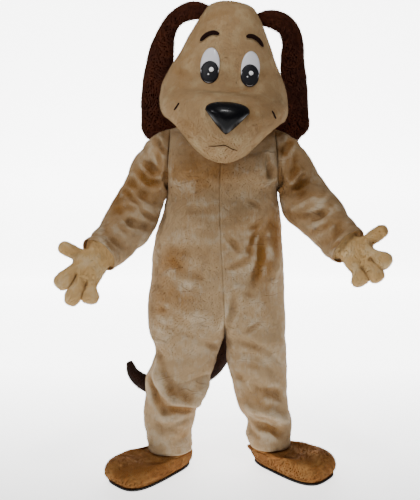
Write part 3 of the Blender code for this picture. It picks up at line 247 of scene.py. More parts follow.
def plush(name, usual, golden, pale, deep, patches=200.0, sheen=0.20, wrinkled=0.0):
    """Short plush: a nap brushed in patches of three tones, with painted shade at the roots and in creases
    and a painted highlight on ridges.

    Patches is their size in millimetres, wrinkled the strength of the thin, mostly level creases, painted as
    lines of shade with a slight dent in the bump.
    """
    material = bpy.data.materials.new(name)
    material.use_nodes = True
    tree = material.node_tree
    shader = tree.nodes["Principled BSDF"]
    place = add_node(tree, "ShaderNodeTexCoord").outputs["Object"]
    patterns = []
    for size, detail, upward, distortion in (
            (patches, 3.0, 1.0, 0.0), (MOTTLING, 4.0, 1.0, 0.0), (STREAKS, 3.0, 1.0, 0.0),
            (TUFTS, 2.0, 1.0, 0.0), (STRANDS, 2.0, STRAND_STRETCH, 0.0), (CREASES, 1.5, CREASE_STRETCH, 0.5)):
        drawn = add_node(tree, "ShaderNodeMapping", (("Vector", place), ("Scale", (1.0, 1.0, upward))))
        pattern = add_node(tree, "ShaderNodeTexNoise", (
            ("Vector", drawn.outputs[0]), ("Scale", 1000 / size), ("Detail", detail),
            ("Distortion", distortion)))
        patterns.append(pattern.outputs["Fac"])
    broad, mottle, streak, tuft, strand, wander = patterns
    # Crease holds painted shade in hollows and painted highlight on ridges; tip lightens the pile's tips,
    # leaving painted shade at its roots
    nap, crease, tip = (add_node(tree, "ShaderNodeAttribute", attribute_name=key).outputs["Fac"]
                        for key in ("nap", "crease", "tip"))
    off_line = add_node(tree, "ShaderNodeMath", ((0, wander), (1, 0.5)), operation="SUBTRACT").outputs[0]
    off_line = add_node(tree, "ShaderNodeMath", ((0, off_line),), operation="ABSOLUTE").outputs[0]
    line, here, crease_shade = (
        add_node(tree, "ShaderNodeClamp", ((0, sum_of(tree, term)),)).outputs[0]
        for term in ((off_line, -38.0, 1.0), (streak, 7.0, -3.4), (crease, 1.0, -0.30)))
    wrinkle = add_node(tree, "ShaderNodeMath", ((0, line), (1, here)), operation="MULTIPLY").outputs[0]
    # Golden where the nap lies open, and partly in hollows as painted shade
    lying_open = sum_of(tree, (nap, 1.0, 0.0), (crease, 0.30, 0.0), (broad, 1.5, -0.80), (mottle, 0.7, -0.35))
    # Pale where the nap is brushed, and on ridges as a painted highlight
    brushed = sum_of(tree, (streak, 2.6, -1.40), (mottle, 2.2, -1.10), (nap, -0.5, 0.25),
                     (crease, -0.75, 0.0), (strand, 1.2, -0.60))
    # Painted shade in creases, at the roots of the pile and along the thin creases, with random mottling
    dark = sum_of(tree, (crease_shade, 0.17, 0.0), (mottle, 0.6, -0.30), (tuft, 0.3, -0.14),
                  (tip, -0.10, 0.0), (strand, 0.5, -0.25), (wrinkle, 0.34 * wrinkled, 0.0))
    colour = linear(usual)
    for amount, tone in ((lying_open, golden), (brushed, pale), (dark, deep)):
        share = add_node(tree, "ShaderNodeClamp", ((0, amount),)).outputs[0]
        colour = add_node(tree, "ShaderNodeMix", ((0, share), (6, colour), (7, linear(tone))),
                          data_type="RGBA").outputs[2]
    tree.links.new(colour, shader.inputs["Base Color"])
    shader.inputs["Roughness"].default_value = 0.92
    shader.inputs["Specular IOR Level"].default_value = 0.15
    shader.inputs["Sheen Weight"].default_value = sheen
    shader.inputs["Sheen Roughness"].default_value = 0.45
    shader.inputs["Sheen Tint"].default_value = linear(pale)
    height = sum_of(tree, (tuft, 0.0007, 0.0), (mottle, 0.0022, 0.0), (streak, 0.0040, 0.0),
                    (strand, 0.0008, 0.0), (wrinkle, -0.0025 * wrinkled, 0.0))
    bump = add_node(tree, "ShaderNodeBump", (("Strength", 0.7), ("Distance", 1.0), ("Height", height)))
    tree.links.new(bump.outputs[0], shader.inputs["Normal"])
    return material


def plain(name, colour, roughness, coat=0.0, shine=0.5):
    """One even colour, with a clear coat where it is polished."""
    material = bpy.data.materials.new(name)
    material.use_nodes = True
    shader = material.node_tree.nodes["Principled BSDF"]
    shader.inputs["Base Color"].default_value = linear(colour)
    shader.inputs["Roughness"].default_value = roughness
    shader.inputs["Specular IOR Level"].default_value = shine
    shader.inputs["Coat Weight"].default_value = coat
    shader.inputs["Coat Roughness"].default_value = 0.05
    return material


def place_piece(name, mesh, finish, nodes):
    """A mesh as a piece of the costume: it rides on the root and may stand for CAD nodes."""
    mesh.materials.clear()
    mesh.materials.append(finish)
    piece = bpy.data.objects.new(name, mesh)
    bpy.context.scene.collection.objects.link(piece)
    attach(piece, "root")
    if nodes:
        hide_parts(*nodes)
    return piece


def add_piece(name, points, faces, finish, slot, nodes=(), **values):
    """A closed piece, with its points' values kept as attributes for the material."""
    mesh = bpy.data.meshes.new(name)
    lowered = np.array(points) - (0, 0, SHOULDER_HEIGHT)
    mesh.from_pydata(lowered.tolist(), [], [tuple(int(v) for v in face) for face in faces])
    for key, value in values.items():
        attribute = mesh.attributes.new(key, "FLOAT", "POINT")
        attribute.data.foreach_set("value", np.ravel(value).astype(np.float32))
    bm = bmesh.new()
    bm.from_mesh(mesh)
    bmesh.ops.recalc_face_normals(bm, faces=bm.faces)
    bm.to_mesh(mesh)
    bm.free()
    mesh.shade_smooth()
    return place_piece(name, mesh, finish, nodes)


BLADE_RISE = 0.60  # shares of the normal, the nap and chance in a blade's direction
BLADE_LIE = 0.75
BLADE_SPREAD = 0.25
BLADE_LENGTHS = (0.6, 0.7)  # of the pile's: the shortest, and what the longest has more
BLADE_HALF_WIDTH = 0.06  # of its length


def pile(name, points, triangles, normals, nap, crease, count, length, finish,
         lean=(0.0, 0.0, -1.0), under=None):
    """The pile of a plush piece: short blades that lie over along the nap."""
    a, b, c = (points[triangles[:, n]] for n in range(3))
    area = np.linalg.norm(np.cross(b - a, c - a), axis=1)
    pick = triangles[random.choice(len(triangles), count, p=area / area.sum())]
    u, v = random.random(count), random.random(count)
    flip = u + v > 1
    u, v = np.where(flip, 1 - u, u), np.where(flip, 1 - v, v)
    weights = np.stack([1 - u - v, u, v], -1)
    root, normal = ((weights[..., None] * field[pick]).sum(1) for field in (points, normals))
    normal = unit(normal)
    if under is not None:
        bare = [under.ray_cast(Vector(p - n * 0.01), Vector(n), 0.05)[0] is None
                for p, n in zip(root, normal)]
        root, normal, pick, weights = (field[bare] for field in (root, normal, pick, weights))
        count = len(root)
    swirl = np.stack([np.sin(9 * root[:, 2] + 5 * root[:, 0]), np.sin(7 * root[:, 0] - 4 * root[:, 2]),
                      np.sin(11 * root[:, 1])], -1)
    flow = np.array(lean) + 0.5 * swirl
    flow = flow - (flow * normal).sum(1, keepdims=True) * normal
    spread = BLADE_SPREAD * random.normal(size=(count, 3))
    blade = unit(BLADE_RISE * normal + BLADE_LIE * unit(flow) + spread)
    aside = unit(np.cross(normal, blade) + 0.4 * random.normal(size=(count, 3)))
    shortest, more = BLADE_LENGTHS
    reach = length * (shortest + more * random.random(count))[:, None]
    half = BLADE_HALF_WIDTH * reach
    blades = np.stack([root - aside * half, root + aside * half, root + blade * reach], 1)
    blades = blades.reshape(-1, 3) - (0, 0, SHOULDER_HEIGHT)
    mesh = bpy.data.meshes.new(name)
    mesh.from_pydata(blades.tolist(), [], np.arange(3 * count).reshape(-1, 3).tolist())
    # The blades carry the crease's painted shade; tip is 1 at their tips, which the plush paints lighter than
    # the shaded roots
    values = {"tip": np.tile((0.0, 0.0, 1.0), count)}
    for key, field in (("nap", nap), ("crease", crease)):
        values[key] = np.repeat((weights * np.ravel(field)[pick]).sum(1), 3)
    for key, value in values.items():
        mesh.attributes.new(key, "FLOAT", "POINT").data.foreach_set("value", value.astype(np.float32))
    mesh.shade_smooth()
    mesh.normals_split_custom_set_from_vertices(np.repeat(normal, 3, 0).tolist())
    return place_piece(name, mesh, finish, ())


def cloth(points, wraps):
    """Closes a piece's grid of points round where it wraps, and keeps nothing."""
    if wraps:
        points = np.concatenate([points, points[:, :1]], 1)


def through(table, places):
    """Smooth values of a table's columns at places measured along its first column."""
    rows = np.array(sorted(table), float)
    x, y = rows[:, 0], rows[:, 1:]
    slope = np.gradient(y, x, axis=0)
    places = np.clip(np.asarray(places, float), x[0], x[-1])
    k = np.clip(np.searchsorted(x, places) - 1, 0, len(x) - 2)
    span = (x[k + 1] - x[k])[:, None]
    t = (places - x[k])[:, None] / span
    rise = t * t * (3 - 2 * t)
    start = t * (1 - t) ** 2 * span * slope[k]
    end = t * t * (t - 1) * span * slope[k + 1]
    return y[k] * (1 - rise) + y[k + 1] * rise + start + end


def numbered(table):
    """The table with each row's number as its first column."""
    return [(float(k), *row) for k, row in enumerate(table)]


def unit(vectors):
    """The vectors at a length of 1."""
    length = np.linalg.norm(vectors, axis=-1, keepdims=True)
    return vectors / np.maximum(length, 1e-12)


def bell(away, width):
    """1 where away is 0, falling off over the width."""
    return np.exp(-(away / width) ** 2)


def halved(quads):
    """Each four-sided face as two triangles."""
    quads = np.array(quads)
    return np.concatenate([quads[:, :3], quads[:, (0, 2, 3)]])


def shared_normals(grids):
    """Outward normals of grids that join up. Each entry is (points, sign, wraps round)."""
    every = np.concatenate([points.reshape(-1, 3) for points, _, _ in grids])
    _, number = np.unique(np.round(every, 6), axis=0, return_inverse=True)
    number = number.ravel()
    total = np.zeros((number.max() + 1, 3))
    first, numbers = 0, []
    for points, sign, wraps in grids:
        rows, columns = points.shape[:2]
        own = number[first:first + rows * columns].reshape(rows, columns)
        first += rows * columns
        numbers.append(own)
        if wraps:
            points = np.concatenate([points, points[:, :1]], 1)
            own = np.concatenate([own, own[:, :1]], 1)
        across = points[1:, 1:] - points[:-1, :-1]
        face = sign * np.cross(across, points[:-1, 1:] - points[1:, :-1])
        for corner in (own[:-1, :-1], own[1:, :-1], own[1:, 1:], own[:-1, 1:]):
            np.add.at(total, corner.ravel(), face.reshape(-1, 3))
    return [unit(total[own]) for own in numbers]


def hollows(points, normals, wraps, reach=2):
    """How far each point lies in a hollow of the grid, in metres."""
    result = np.zeros(points.shape[:2])
    for axis in (0, 1):
        if wraps and axis == 1:
            before, after = np.roll(points, reach, 1), np.roll(points, -reach, 1)
        else:
            padding = [(reach, reach) if n == axis else (0, 0) for n in range(3)]
            wide = np.pad(points, padding, mode="reflect", reflect_type="odd")
            before = np.take(wide, range(points.shape[axis]), axis)
            after = np.take(wide, range(2 * reach, points.shape[axis] + 2 * reach), axis)
        result += (((before + after) / 2 - points) * normals).sum(-1)
    return result


def rippled(points, normals, amounts):
    """The grid moved along its normals by soft noise: (x, y and z per metre, height)."""
    shift = np.zeros(points.shape[:2])
    for scale, height in amounts:
        flat = (points * np.array(scale)).reshape(-1, 3)
        shift += height * np.array([noise.noise(Vector(p)) for p in flat]).reshape(shift.shape)
    return points + normals * shift[..., None]


def crumpled(points, normals, scale, heights):
    """The grid with round swells parted by narrow creases, as soft cloth gathers.

    Scale is x, y and z per metre, and heights are those of the swells at every row.
    """
    swell = [abs(noise.noise(Vector(p * np.array(scale)) + 0.9 * noise.noise_vector(Vector(p) * 5)))
             for p in points.reshape(-1, 3)]
    swell = np.array(swell).reshape(points.shape[:2])
    shift = heights[:, None] * (np.clip(swell / 0.45, 0, 1) ** 0.7 - 0.6)
    return points + normals * shift[..., None]


def open_nap(points, normals, table):
    """How open the nap lies at each point, from soft patches."""
    result = np.zeros(points.shape[:-1])
    for face, x, z, wide, tall, strength in table:
        away = ((points[..., 0] - x) / wide) ** 2 + ((points[..., 2] - z) / tall) ** 2
        result += strength * np.exp(-away) * np.clip(0.5 + face * normals[..., 1], 0, 1)
    return result


def plush_wall(name, points, normals, wraps, finish, slot, nodes, nap, blades, smooth,
               length=0.0045, under=None, thickness=WALL):
    """A plush piece: a thin closed wall under the CAD's outside, and the pile on it.

    Smooth is the same grid without its folds, so that only the folds paint shade into the pile, and a
    highlight onto their ridges.
    """
    rows, columns = points.shape[:2]
    count = rows * columns
    skin = points - normals * PILE
    # Painted shade: the depth of the fold hollows sets the crease value that darkens the colour there and
    # lightens it on ridges
    sunk = hollows(skin, normals, wraps) - hollows(smooth, normals, wraps)
    for _ in range(CREASE_SMOOTHING):
        padded = np.pad(sunk, 1, mode="edge")
        sunk = (padded[:-2, 1:-1] + padded[2:, 1:-1] + padded[1:-1, :-2] + padded[1:-1, 2:] + sunk) / 5
    crease = np.clip(sunk / CREASE_DEPTH, -0.6, 1)
    both = np.concatenate([skin.reshape(-1, 3), (skin - normals * thickness).reshape(-1, 3)])
    outer = grid_faces(rows, columns, wraps)
    faces = outer + [face[::-1] for face in grid_faces(rows, columns, wraps, count)]
    loops = [list(range(columns)), list(range(count - columns, count))[::-1]]
    if not wraps:
        loops = [border(rows, columns)]
    for loop in loops:
        faces += [(a, b, b + count, a + count) for a, b in zip(loop, loop[1:] + loop[:1])]
    # The inner wall gets full painted shade (crease 1)
    piece = add_piece(name, both, faces, finish, slot, nodes, nap=np.tile(np.ravel(nap), 2),
                      crease=np.append(crease, np.ones(count)), tip=np.zeros(2 * count))
    hairs = pile(name + "_pile", skin.reshape(-1, 3), halved(outer), normals.reshape(-1, 3), nap, crease,
                 blades, length, finish, under=under)
    return piece, hairs


def grid_faces(rows, columns, wraps, first=0):
    """Four-sided faces between a grid's points, which are numbered from the first."""
    faces = []
    for i in range(rows - 1):
        for j in range(columns if wraps else columns - 1):
            k = (j + 1) % columns
            faces.append(tuple(first + n for n in (
                i * columns + j, (i + 1) * columns + j, (i + 1) * columns + k, i * columns + k)))
    return faces


def border(rows, columns):
    """The grid's outer points in order, for an open grid."""
    top = list(range(columns))
    right = [i * columns + columns - 1 for i in range(1, rows)]
    bottom = [(rows - 1) * columns + j for j in range(columns - 2, -1, -1)]
    left = [i * columns for i in range(rows - 2, 0, -1)]
    return top + right + bottom + left


def level_section(seam_x, side_x, front_y, back_y, split, face, fullness):
    """One level of a quarter panel, from its centre or inseam edge to its side edge.

    Split 0 is a quarter of the body and 1 is half of a leg.
    """
    share = np.linspace(0, 1, PANEL_COLUMNS + 1)
    out = (1 - split) * np.sin(math.pi / 2 * share) + split * (1 - np.cos(math.pi * share)) / 2
    power = 2 / fullness
    body = np.clip(1 - out ** power, 0, 1) ** (1 / power)
    leg = np.clip(1 - np.abs(2 * out - 1) ** power, 0, 1) ** (1 / power)
    middle, depth = (front_y + back_y) / 2, (back_y - front_y) / 2
    y = middle + face * depth * ((1 - split) * body + split * leg)
    return seam_x + (side_x - seam_x) * out, y


def torso_section(height, side, face, rise=1.0):
    """One level of the body; rise goes from 1 to 0 between the body and the crotch."""
    right_x, left_x, seam_x, front_y, back_y, fullness = through(TORSO, [height])[0]
    side_x = left_x if side > 0 else right_x
    split = (1 - rise) ** CROTCH_CURVE
    x, y = level_section(seam_x, side_x, front_y, back_y, split, face, fullness)
    return np.stack([x, y, np.full_like(x, height)], -1)


def leg_section(height, side, face):
    """One level of a leg's front or back half."""
    inner_x, outer_x, front_y, back_y = through(LEFT_LEG if side > 0 else RIGHT_LEG, [height])[0]
    below = min(1.0, (CROTCH - height) / THIGH)
    fullness = CROTCH_FULLNESS + (FULLNESS - CROTCH_FULLNESS) * below
    x, y = level_section(inner_x, outer_x, front_y, back_y, 1.0, face, fullness)
    return np.stack([x, y, np.full_like(x, height)], -1)


def neck_point(side, angle, reach, face):
    """Points of the neck band's edge that has this reach."""
    x = side * reach[0] * np.sin(angle)
    y = NECK_CENTRE_Y + face * reach[1] * np.cos(angle)
    z = NECK_HEIGHT + NECK_SLOPE * (y - NECK_CENTRE_Y)
    return np.stack([x, y, z], -1)


def armhole(side, face):
    """Half of the armhole's edge, from its top round to the armpit."""
    angle = np.radians(np.linspace(90, -90, ARMHOLE_ROWS + 1))
    middle, depth = torso_section(TORSO_LEVELS[0], side, face)[-1], ARMHOLE_REACH[0]
    share = (1 - np.sin(angle)) / 2
    x = side * ARMHOLE_TOP_X * (1 - share) + middle[0] * share
    y = ARMHOLE_CENTRE[0] * (1 - share) + middle[1] * share + face * depth * np.cos(angle)
    z = ARMHOLE_CENTRE[1] + ARMHOLE_REACH[1] * np.sin(angle)
    z[-1] = middle[2]
    return np.stack([x, y, z], -1)


def upper_panel(side, face):
    """From the neck band down to the armpit: a patch between four drawn edges."""
    turn = np.linspace(0, math.pi / 2, PANEL_COLUMNS + 1)
    neck = neck_point(side, turn, NECK_OUTER, face)
    armpit = torso_section(TORSO_LEVELS[0], side, face)
    hole = armhole(side, face)
    share = np.linspace(0, 1, SHOULDER_ROWS + 1)[:-1, None]
    shoulder = neck[-1] * (1 - share) + hole[0] * share
    right = np.concatenate([shoulder, hole])
    rows = len(right)
    s = np.linspace(0, 1, rows)[:, None, None]
    t = np.linspace(0, 1, PANEL_COLUMNS + 1)[None, :, None]
    left = neck[0] * (1 - s[:, 0]) + armpit[0] * s[:, 0]
    left[:, 1] += face * 0.012 * np.sin(math.pi * s[:, 0, 0])
    edges = (1 - s) * neck[None] + s * armpit[None] + (1 - t) * left[:, None] + t * right[:, None]
    corners = (1 - s) * ((1 - t) * neck[0] + t * neck[-1]) + s * ((1 - t) * armpit[0] + t * armpit[-1])
    patch = edges - corners
    patch[-1] = armpit
    patch[:, -1] = right
    band = neck_point(side, turn, NECK_INNER, face)
    return np.concatenate([band[None], patch])


def quarter_panel(side, face):
    """A quarter of the suit as a grid, from the neck band to the ankle."""
    rows = list(upper_panel(side, face))
    rows += [torso_section(height, side, face) for height in TORSO_LEVELS[1:]]
    for height in RISE_LEVELS:
        rise = (height - CROTCH) / (RISE_TOP - CROTCH)
        rows.append(torso_section(height, side, face, rise))
    hem = (LEFT_LEG if side > 0 else RIGHT_LEG)[-1][0]
    for height in np.linspace(CROTCH, hem, LEG_ROWS + 1)[1:]:
        rows.append(leg_section(height, side, face))
    return np.array(rows)


def folded(points, normals, folds):
    """The grid with ridges and troughs raised or sunk along straight lines seen from the front."""
    result = points.copy()
    wander = np.array([noise.noise_vector(Vector(p) * 9)[:2] for p in points.reshape(-1, 3)])
    uneven = np.array([noise.noise(Vector(p) * 15) for p in points.reshape(-1, 3)])
    flat = points[..., (0, 2)] + 0.016 * wander.reshape(*points.shape[:2], 2)
    uneven = np.clip(1 + 1.3 * uneven.reshape(points.shape[:2]), 0.1, 2)
    for face, x0, z0, x1, z1, width, depth in folds:
        start, line = np.array((x0, z0)), np.array((x1 - x0, z1 - z0))
        along = np.clip(((flat - start) @ line) / (line @ line), 0, 1)
        off = flat - start - along[..., None] * line
        away = (off ** 2).sum(-1) / width ** 2
        taper = 0.35 + 0.65 * np.sin(math.pi * np.clip(along, 0.02, 0.98))
        facing = np.clip(1.6 * face * normals[..., 1], 0, 1)
        result += normals * (depth * taper * np.exp(-away) * facing * uneven)[..., None]
    return result


# ---- Sleeves ----
# Plush tubes set into the armholes, bent forward at the elbow and gathered in folds there.
# The cuff is turned back and topstitched about 3 cm from its edge.

SLEEVE_ROWS = 100
SLEEVE_CLEARANCE = 0.006
PLUSH = 0.004  # the body panels' wall
# Folds of the left sleeve that show only from close by, mirrored for the right one
FINE_SLEEVE_FOLDS = (
    (-1, 0.262, 1.330, 0.240, 1.230, 0.012, -0.007),
    (-1, 0.300, 1.300, 0.262, 1.200, 0.012, -0.006),
    (-1, 0.330, 1.230, 0.270, 1.160, 0.011, -0.007),
    (-1, 0.395, 1.150, 0.300, 1.075, 0.011, -0.007),
    (-1, 0.360, 1.060, 0.320, 1.020, 0.010, -0.006),
    (-1, 0.425, 1.060, 0.335, 0.985, 0.010, -0.006),
    (-1, 0.440, 0.985, 0.390, 0.930, 0.010, -0.005),
    (1, 0.330, 1.260, 0.260, 1.200, 0.014, -0.007),
    (1, 0.390, 1.150, 0.300, 1.090, 0.014, -0.007),
    (1, 0.440, 1.020, 0.350, 0.950, 0.012, -0.006),
)
# Sleeves: outward x, y, height, half height, half depth of each section after the armhole
RIGHT_SLEEVE = (
    (0.241, -0.012, 1.246, 0.113, 0.104),
    (0.270, -0.014, 1.206, 0.100, 0.101),
    (0.297, -0.022, 1.150, 0.098, 0.099),
    (0.321, -0.034, 1.100, 0.101, 0.098),
    (0.345, -0.058, 1.050, 0.104, 0.096),
    (0.372, -0.100, 1.005, 0.096, 0.091),
    (0.405, -0.146, 0.966, 0.087, 0.085),
    (0.438, -0.190, 0.932, 0.082, 0.078),
    (0.462, -0.222, 0.908, 0.079, 0.074),
)
LEFT_SLEEVE = (
    (0.246, -0.012, 1.246, 0.114, 0.104),
    (0.269, -0.014, 1.208, 0.102, 0.101),
    (0.294, -0.022, 1.158, 0.101, 0.099),
    (0.321, -0.034, 1.118, 0.106, 0.098),
    (0.348, -0.060, 1.082, 0.107, 0.096),
    (0.378, -0.100, 1.044, 0.099, 0.092),
    (0.409, -0.146, 1.005, 0.090, 0.086),
    (0.440, -0.190, 0.966, 0.082, 0.078),
    (0.468, -0.224, 0.942, 0.078, 0.074),
)
RIGHT_SLEEVE_FOLDS = (
    (-1, -0.254, 1.387, -0.228, 1.330, 0.012, 0.006),
    (-1, -0.262, 1.350, -0.232, 1.305, 0.010, -0.006),
    (-1, -0.317, 1.235, -0.236, 1.185, 0.013, 0.007),
    (-1, -0.318, 1.200, -0.240, 1.160, 0.010, -0.006),
    (-1, -0.318, 1.120, -0.242, 1.069, 0.013, 0.006),
    (-1, -0.319, 1.081, -0.250, 1.031, 0.010, -0.006),
    (-1, -0.300, 1.260, -0.235, 1.180, 0.020, -0.009),
    (-1, -0.375, 1.180, -0.255, 1.110, 0.020, -0.009),
    (-1, -0.390, 1.110, -0.265, 1.060, 0.020, 0.009),
    (-1, -0.400, 1.075, -0.290, 1.010, 0.018, -0.009),
    (-1, -0.440, 1.020, -0.350, 0.930, 0.018, -0.007),
    (1, -0.360, 1.190, -0.250, 1.130, 0.022, -0.008),
    (1, -0.420, 1.060, -0.290, 1.010, 0.022, -0.008),
)
LEFT_SLEEVE_FOLDS = (
    (-1, 0.258, 1.380, 0.230, 1.330, 0.012, 0.006),
    (-1, 0.280, 1.340, 0.238, 1.290, 0.010, -0.006),
    (-1, 0.340, 1.230, 0.248, 1.190, 0.013, 0.007),
    (-1, 0.345, 1.190, 0.250, 1.160, 0.010, -0.006),
    (-1, 0.350, 1.110, 0.262, 1.075, 0.013, 0.006),
    (-1, 0.375, 1.080, 0.280, 1.040, 0.010, -0.006),
    (-1, 0.300, 1.270, 0.240, 1.190, 0.020, -0.009),
    (-1, 0.370, 1.190, 0.240, 1.130, 0.020, -0.009),
    (-1, 0.400, 1.130, 0.250, 1.080, 0.020, 0.009),
    (-1, 0.400, 1.095, 0.290, 1.020, 0.018, -0.009),
    (-1, 0.440, 1.050, 0.370, 0.950, 0.018, -0.007),
    (1, 0.360, 1.200, 0.250, 1.140, 0.022, -0.008),
    (1, 0.420, 1.080, 0.290, 1.030, 0.022, -0.008),
)


def rings_along(path, first, first_reach, second, second_reach):
    """Rings round a path, off it along two axes by a reach for each point of each ring."""
    rings = path[:, None] + first[:, None] * first_reach[..., None]
    return rings + second[:, None] * second_reach[..., None]


def clear_of_body(rings, side, panels):
    """The rings with every point after the first ring outside the body panels."""
    points = [Vector(point) for panel in panels for point in panel.reshape(-1, 3)]
    rows, columns = panels[0].shape[:2]
    faces = grid_faces(rows, columns, False) + grid_faces(rows, columns, False, rows * columns)
    tree = BVHTree.FromPolygons(points, faces)
    for i, ring in enumerate(rings[1:]):
        gap = PLUSH + SLEEVE_CLEARANCE * min(1.0, 0.5 + 0.5 * i)
        for point in ring:
            start = Vector((side, point[1], point[2]))
            hit = tree.ray_cast(start, Vector((-side, 0, 0)))[0]
            if hit and side * hit.x > ARMHOLE_TOP_X / 2:
                point[0] = side * max(side * point[0], side * hit.x + gap)
    return rings


def sleeve_grid(side, panels):
    """Rings from the armhole to the cuff, each from the armpit round the front and back."""
    loop = np.concatenate([armhole(side, -1)[::-1], armhole(side, 1)[1:-1]])
    columns = len(loop)
    table = LEFT_SLEEVE if side > 0 else RIGHT_SLEEVE
    centre = loop.mean(0)
    first = (side * centre[0], centre[1], centre[2], ARMHOLE_REACH[1], ARMHOLE_REACH[0])
    places = np.linspace(0, len(table), SLEEVE_ROWS + 1)
    values = through(numbered((first, *table)), places)
    path = values[:, :3]
    heading = unit(np.gradient(path, axis=0))
    turned = np.clip(places / 3, 0, 1)[:, None]
    heading = unit((1 - turned) * np.array((1.0, 0, 0)) + turned * heading)
    ahead = np.array((0, -1.0, 0))
    front_axis = unit(ahead - (heading @ ahead)[:, None] * heading)
    up_axis = np.cross(front_axis, heading)
    angle = np.radians(-90 + 360 / columns * np.arange(columns))
    rings = rings_along(path, up_axis, values[:, 3, None] * np.sin(angle),
                        front_axis, values[:, 4, None] * np.cos(angle)) * np.array((side, 1, 1))
    rings[0] = loop
    return clear_of_body(rings, side, panels)


usual_nap = plush("plush_suit", "#A88D6B", "#845A28", "#C4B093", "#38200E", wrinkled=0.8)  # golden taupe
QUARTERS = (
    ("front_right", -1, -1, 45000),
    ("front_left", 1, -1, 45000),
    ("back_right", -1, 1, 40000),
    ("back_left", 1, 1, 40000),
)
SLEEVES = (("sleeve_right", -1), ("sleeve_left", 1))
FINE_SHARE = 0.5  # of the fine folds' depths
FOLD_SHARE = 1.7  # of the tables' depths, since the pile rounds the folds off
SLEEVE_BLADES = 36000
SLEEVE_NAP = (
    (-1, 0.000, 1.150, 0.700, 0.300, 0.60),
    (1, 0.000, 1.150, 0.700, 0.300, 0.60),
    (-1, -0.300, 1.200, 0.050, 0.060, 0.35),
    (-1, -0.400, 1.090, 0.050, 0.050, 0.35),
    (-1, 0.310, 1.180, 0.050, 0.060, 0.40),
    (-1, 0.400, 1.060, 0.050, 0.060, 0.30),
    (1, -0.330, 1.150, 0.070, 0.080, 0.45),
    (1, 0.340, 1.150, 0.070, 0.080, 0.45),
)
ARMPIT = 1 + SHOULDER_ROWS + ARMHOLE_ROWS
EASING_ROUNDS = 60
SWELL_SCALE = (6, 6, 10)  # swells to the metre
SLEEVE_SWELL = 0.009
PANEL_SWELLS = ((0.10, 0.45, 0.62, 0.90, 1.15, 1.30), (0.008, 0.009, 0.005, 0.003, 0.003, 0.006))
RIPPLES = (((7, 7, 11), 0.006), ((9, 9, 40), 0.0012), ((24, 24, 34), 0.0012))
SEAM_WIDTH = 0.012
CENTRE_SEAM_DEPTH = 0.00022
SIDE_SEAM_DEPTH = 0.0011
HEM_SEAM = (0.026, 0.004, 0.0025)  # above the edge, width, depth
CUFF = ((0.014, 0.010, 0.0018), (0.030, 0.004, -0.0030))  # turned-back swell and stitched groove


def scaled(folds, share):
    """The folds at a share of their depths."""
    return tuple((*row[:-1], row[-1] * share) for row in folds)


def eased_armpit(points):
    """The panel drawn even below and above the armpit, but for its side edge."""
    eased = points.copy()
    inward = np.clip((PANEL_COLUMNS - np.arange(PANEL_COLUMNS + 1)) / 8, 0, 1)[:, None]
    above, below = ARMPIT - 9, ARMPIT + 14
    for _ in range(EASING_ROUNDS):
        middle = (eased[above - 1:below - 1] + eased[above + 1:below + 1]) / 2
        eased[above:below] += (middle - eased[above:below]) * 0.5 * inward
    return eased


def sleeve_edges(points, normal, raised):
    """The folded sleeve, flat where it meets the armhole and turned back at its cuff."""
    row = np.arange(len(points))
    raised = points + (raised - points) * np.clip(row / 6, 0, 1)[:, None, None]
    raised -= normal * (0.0015 * bell(row, 2.2))[:, None, None]
    step = np.linalg.norm(np.diff(points.mean(1), axis=0), axis=-1)
    from_cuff = np.append(step[::-1].cumsum()[::-1], 0.0)
    hem = sum(height * bell(from_cuff - place, width) for place, width, height in CUFF)
    return raised + normal * hem[:, None, None]


def panel_edges(points, normal, raised):
    """The folded panel, flat at the neck and armhole and drawn in along its other seams."""
    fade = np.ones(points.shape[:2])
    fade[:2] = 0
    fade[2:6] = np.linspace(0.2, 1, 4)[:, None]
    fade[:ARMPIT + 4] *= 1 - bell(np.arange(points.shape[1])[::-1], 2.5)
    raised = points + (raised - points) * fade[..., None]
    step = np.linalg.norm(np.diff(points, axis=1), axis=-1)
    along = np.concatenate([np.zeros((len(points), 1)), np.cumsum(step, 1)], 1)
    drawn = CENTRE_SEAM_DEPTH * bell(along, SEAM_WIDTH)
    drawn += SIDE_SEAM_DEPTH * bell(along[:, -1:] - along, SEAM_WIDTH)
    drawn[:2] = 0
    above, width, depth = HEM_SEAM
    drawn += depth * bell(points[:, :1, 2] - points[-1, 0, 2] - above, width)
    return raised - normal * drawn[..., None]


suit = [(quarter_panel(side, face), -side * face, False) for _, side, face, _ in QUARTERS]
for _, side in SLEEVES:
    beside = [points for points, _, _ in suit[:4] if points[-1, -1, 0] * side > 0]
    suit.append((sleeve_grid(side, beside), side, True))
suit[:4] = [(eased_armpit(points), sign, wraps) for points, sign, wraps in suit[:4]]
fine_left = scaled(FINE_SLEEVE_FOLDS, FINE_SHARE)
fine_right = tuple(tuple(row * np.array((1, -1, 1, -1, 1, 1, 1))) for row in fine_left)
folds = [BODY_FOLDS + scaled(FINE_FOLDS, FINE_SHARE)] * 4
folds += [RIGHT_SLEEVE_FOLDS + fine_right, LEFT_SLEEVE_FOLDS + fine_left]
creased, unfolded = [], []
for (points, sign, wraps), normal, table in zip(suit, shared_normals(suit), folds):
    raised = folded(points, normal, scaled(table, FOLD_SHARE))
    moved = raised - points
    heights = np.full(len(points), SLEEVE_SWELL) if wraps else np.interp(points[:, 0, 2], *PANEL_SWELLS)
    raised = rippled(crumpled(raised, normal, SWELL_SCALE, heights), normal, RIPPLES)
    raised = (sleeve_edges if wraps else panel_edges)(points, normal, raised)
    creased.append((raised, sign, wraps))
    unfolded.append(raised - moved)
inner_walls = {}
parts = [(name, blades, OPEN_NAP) for name, _, _, blades in QUARTERS]
parts += [(name, SLEEVE_BLADES, SLEEVE_NAP) for name, _ in SLEEVES]
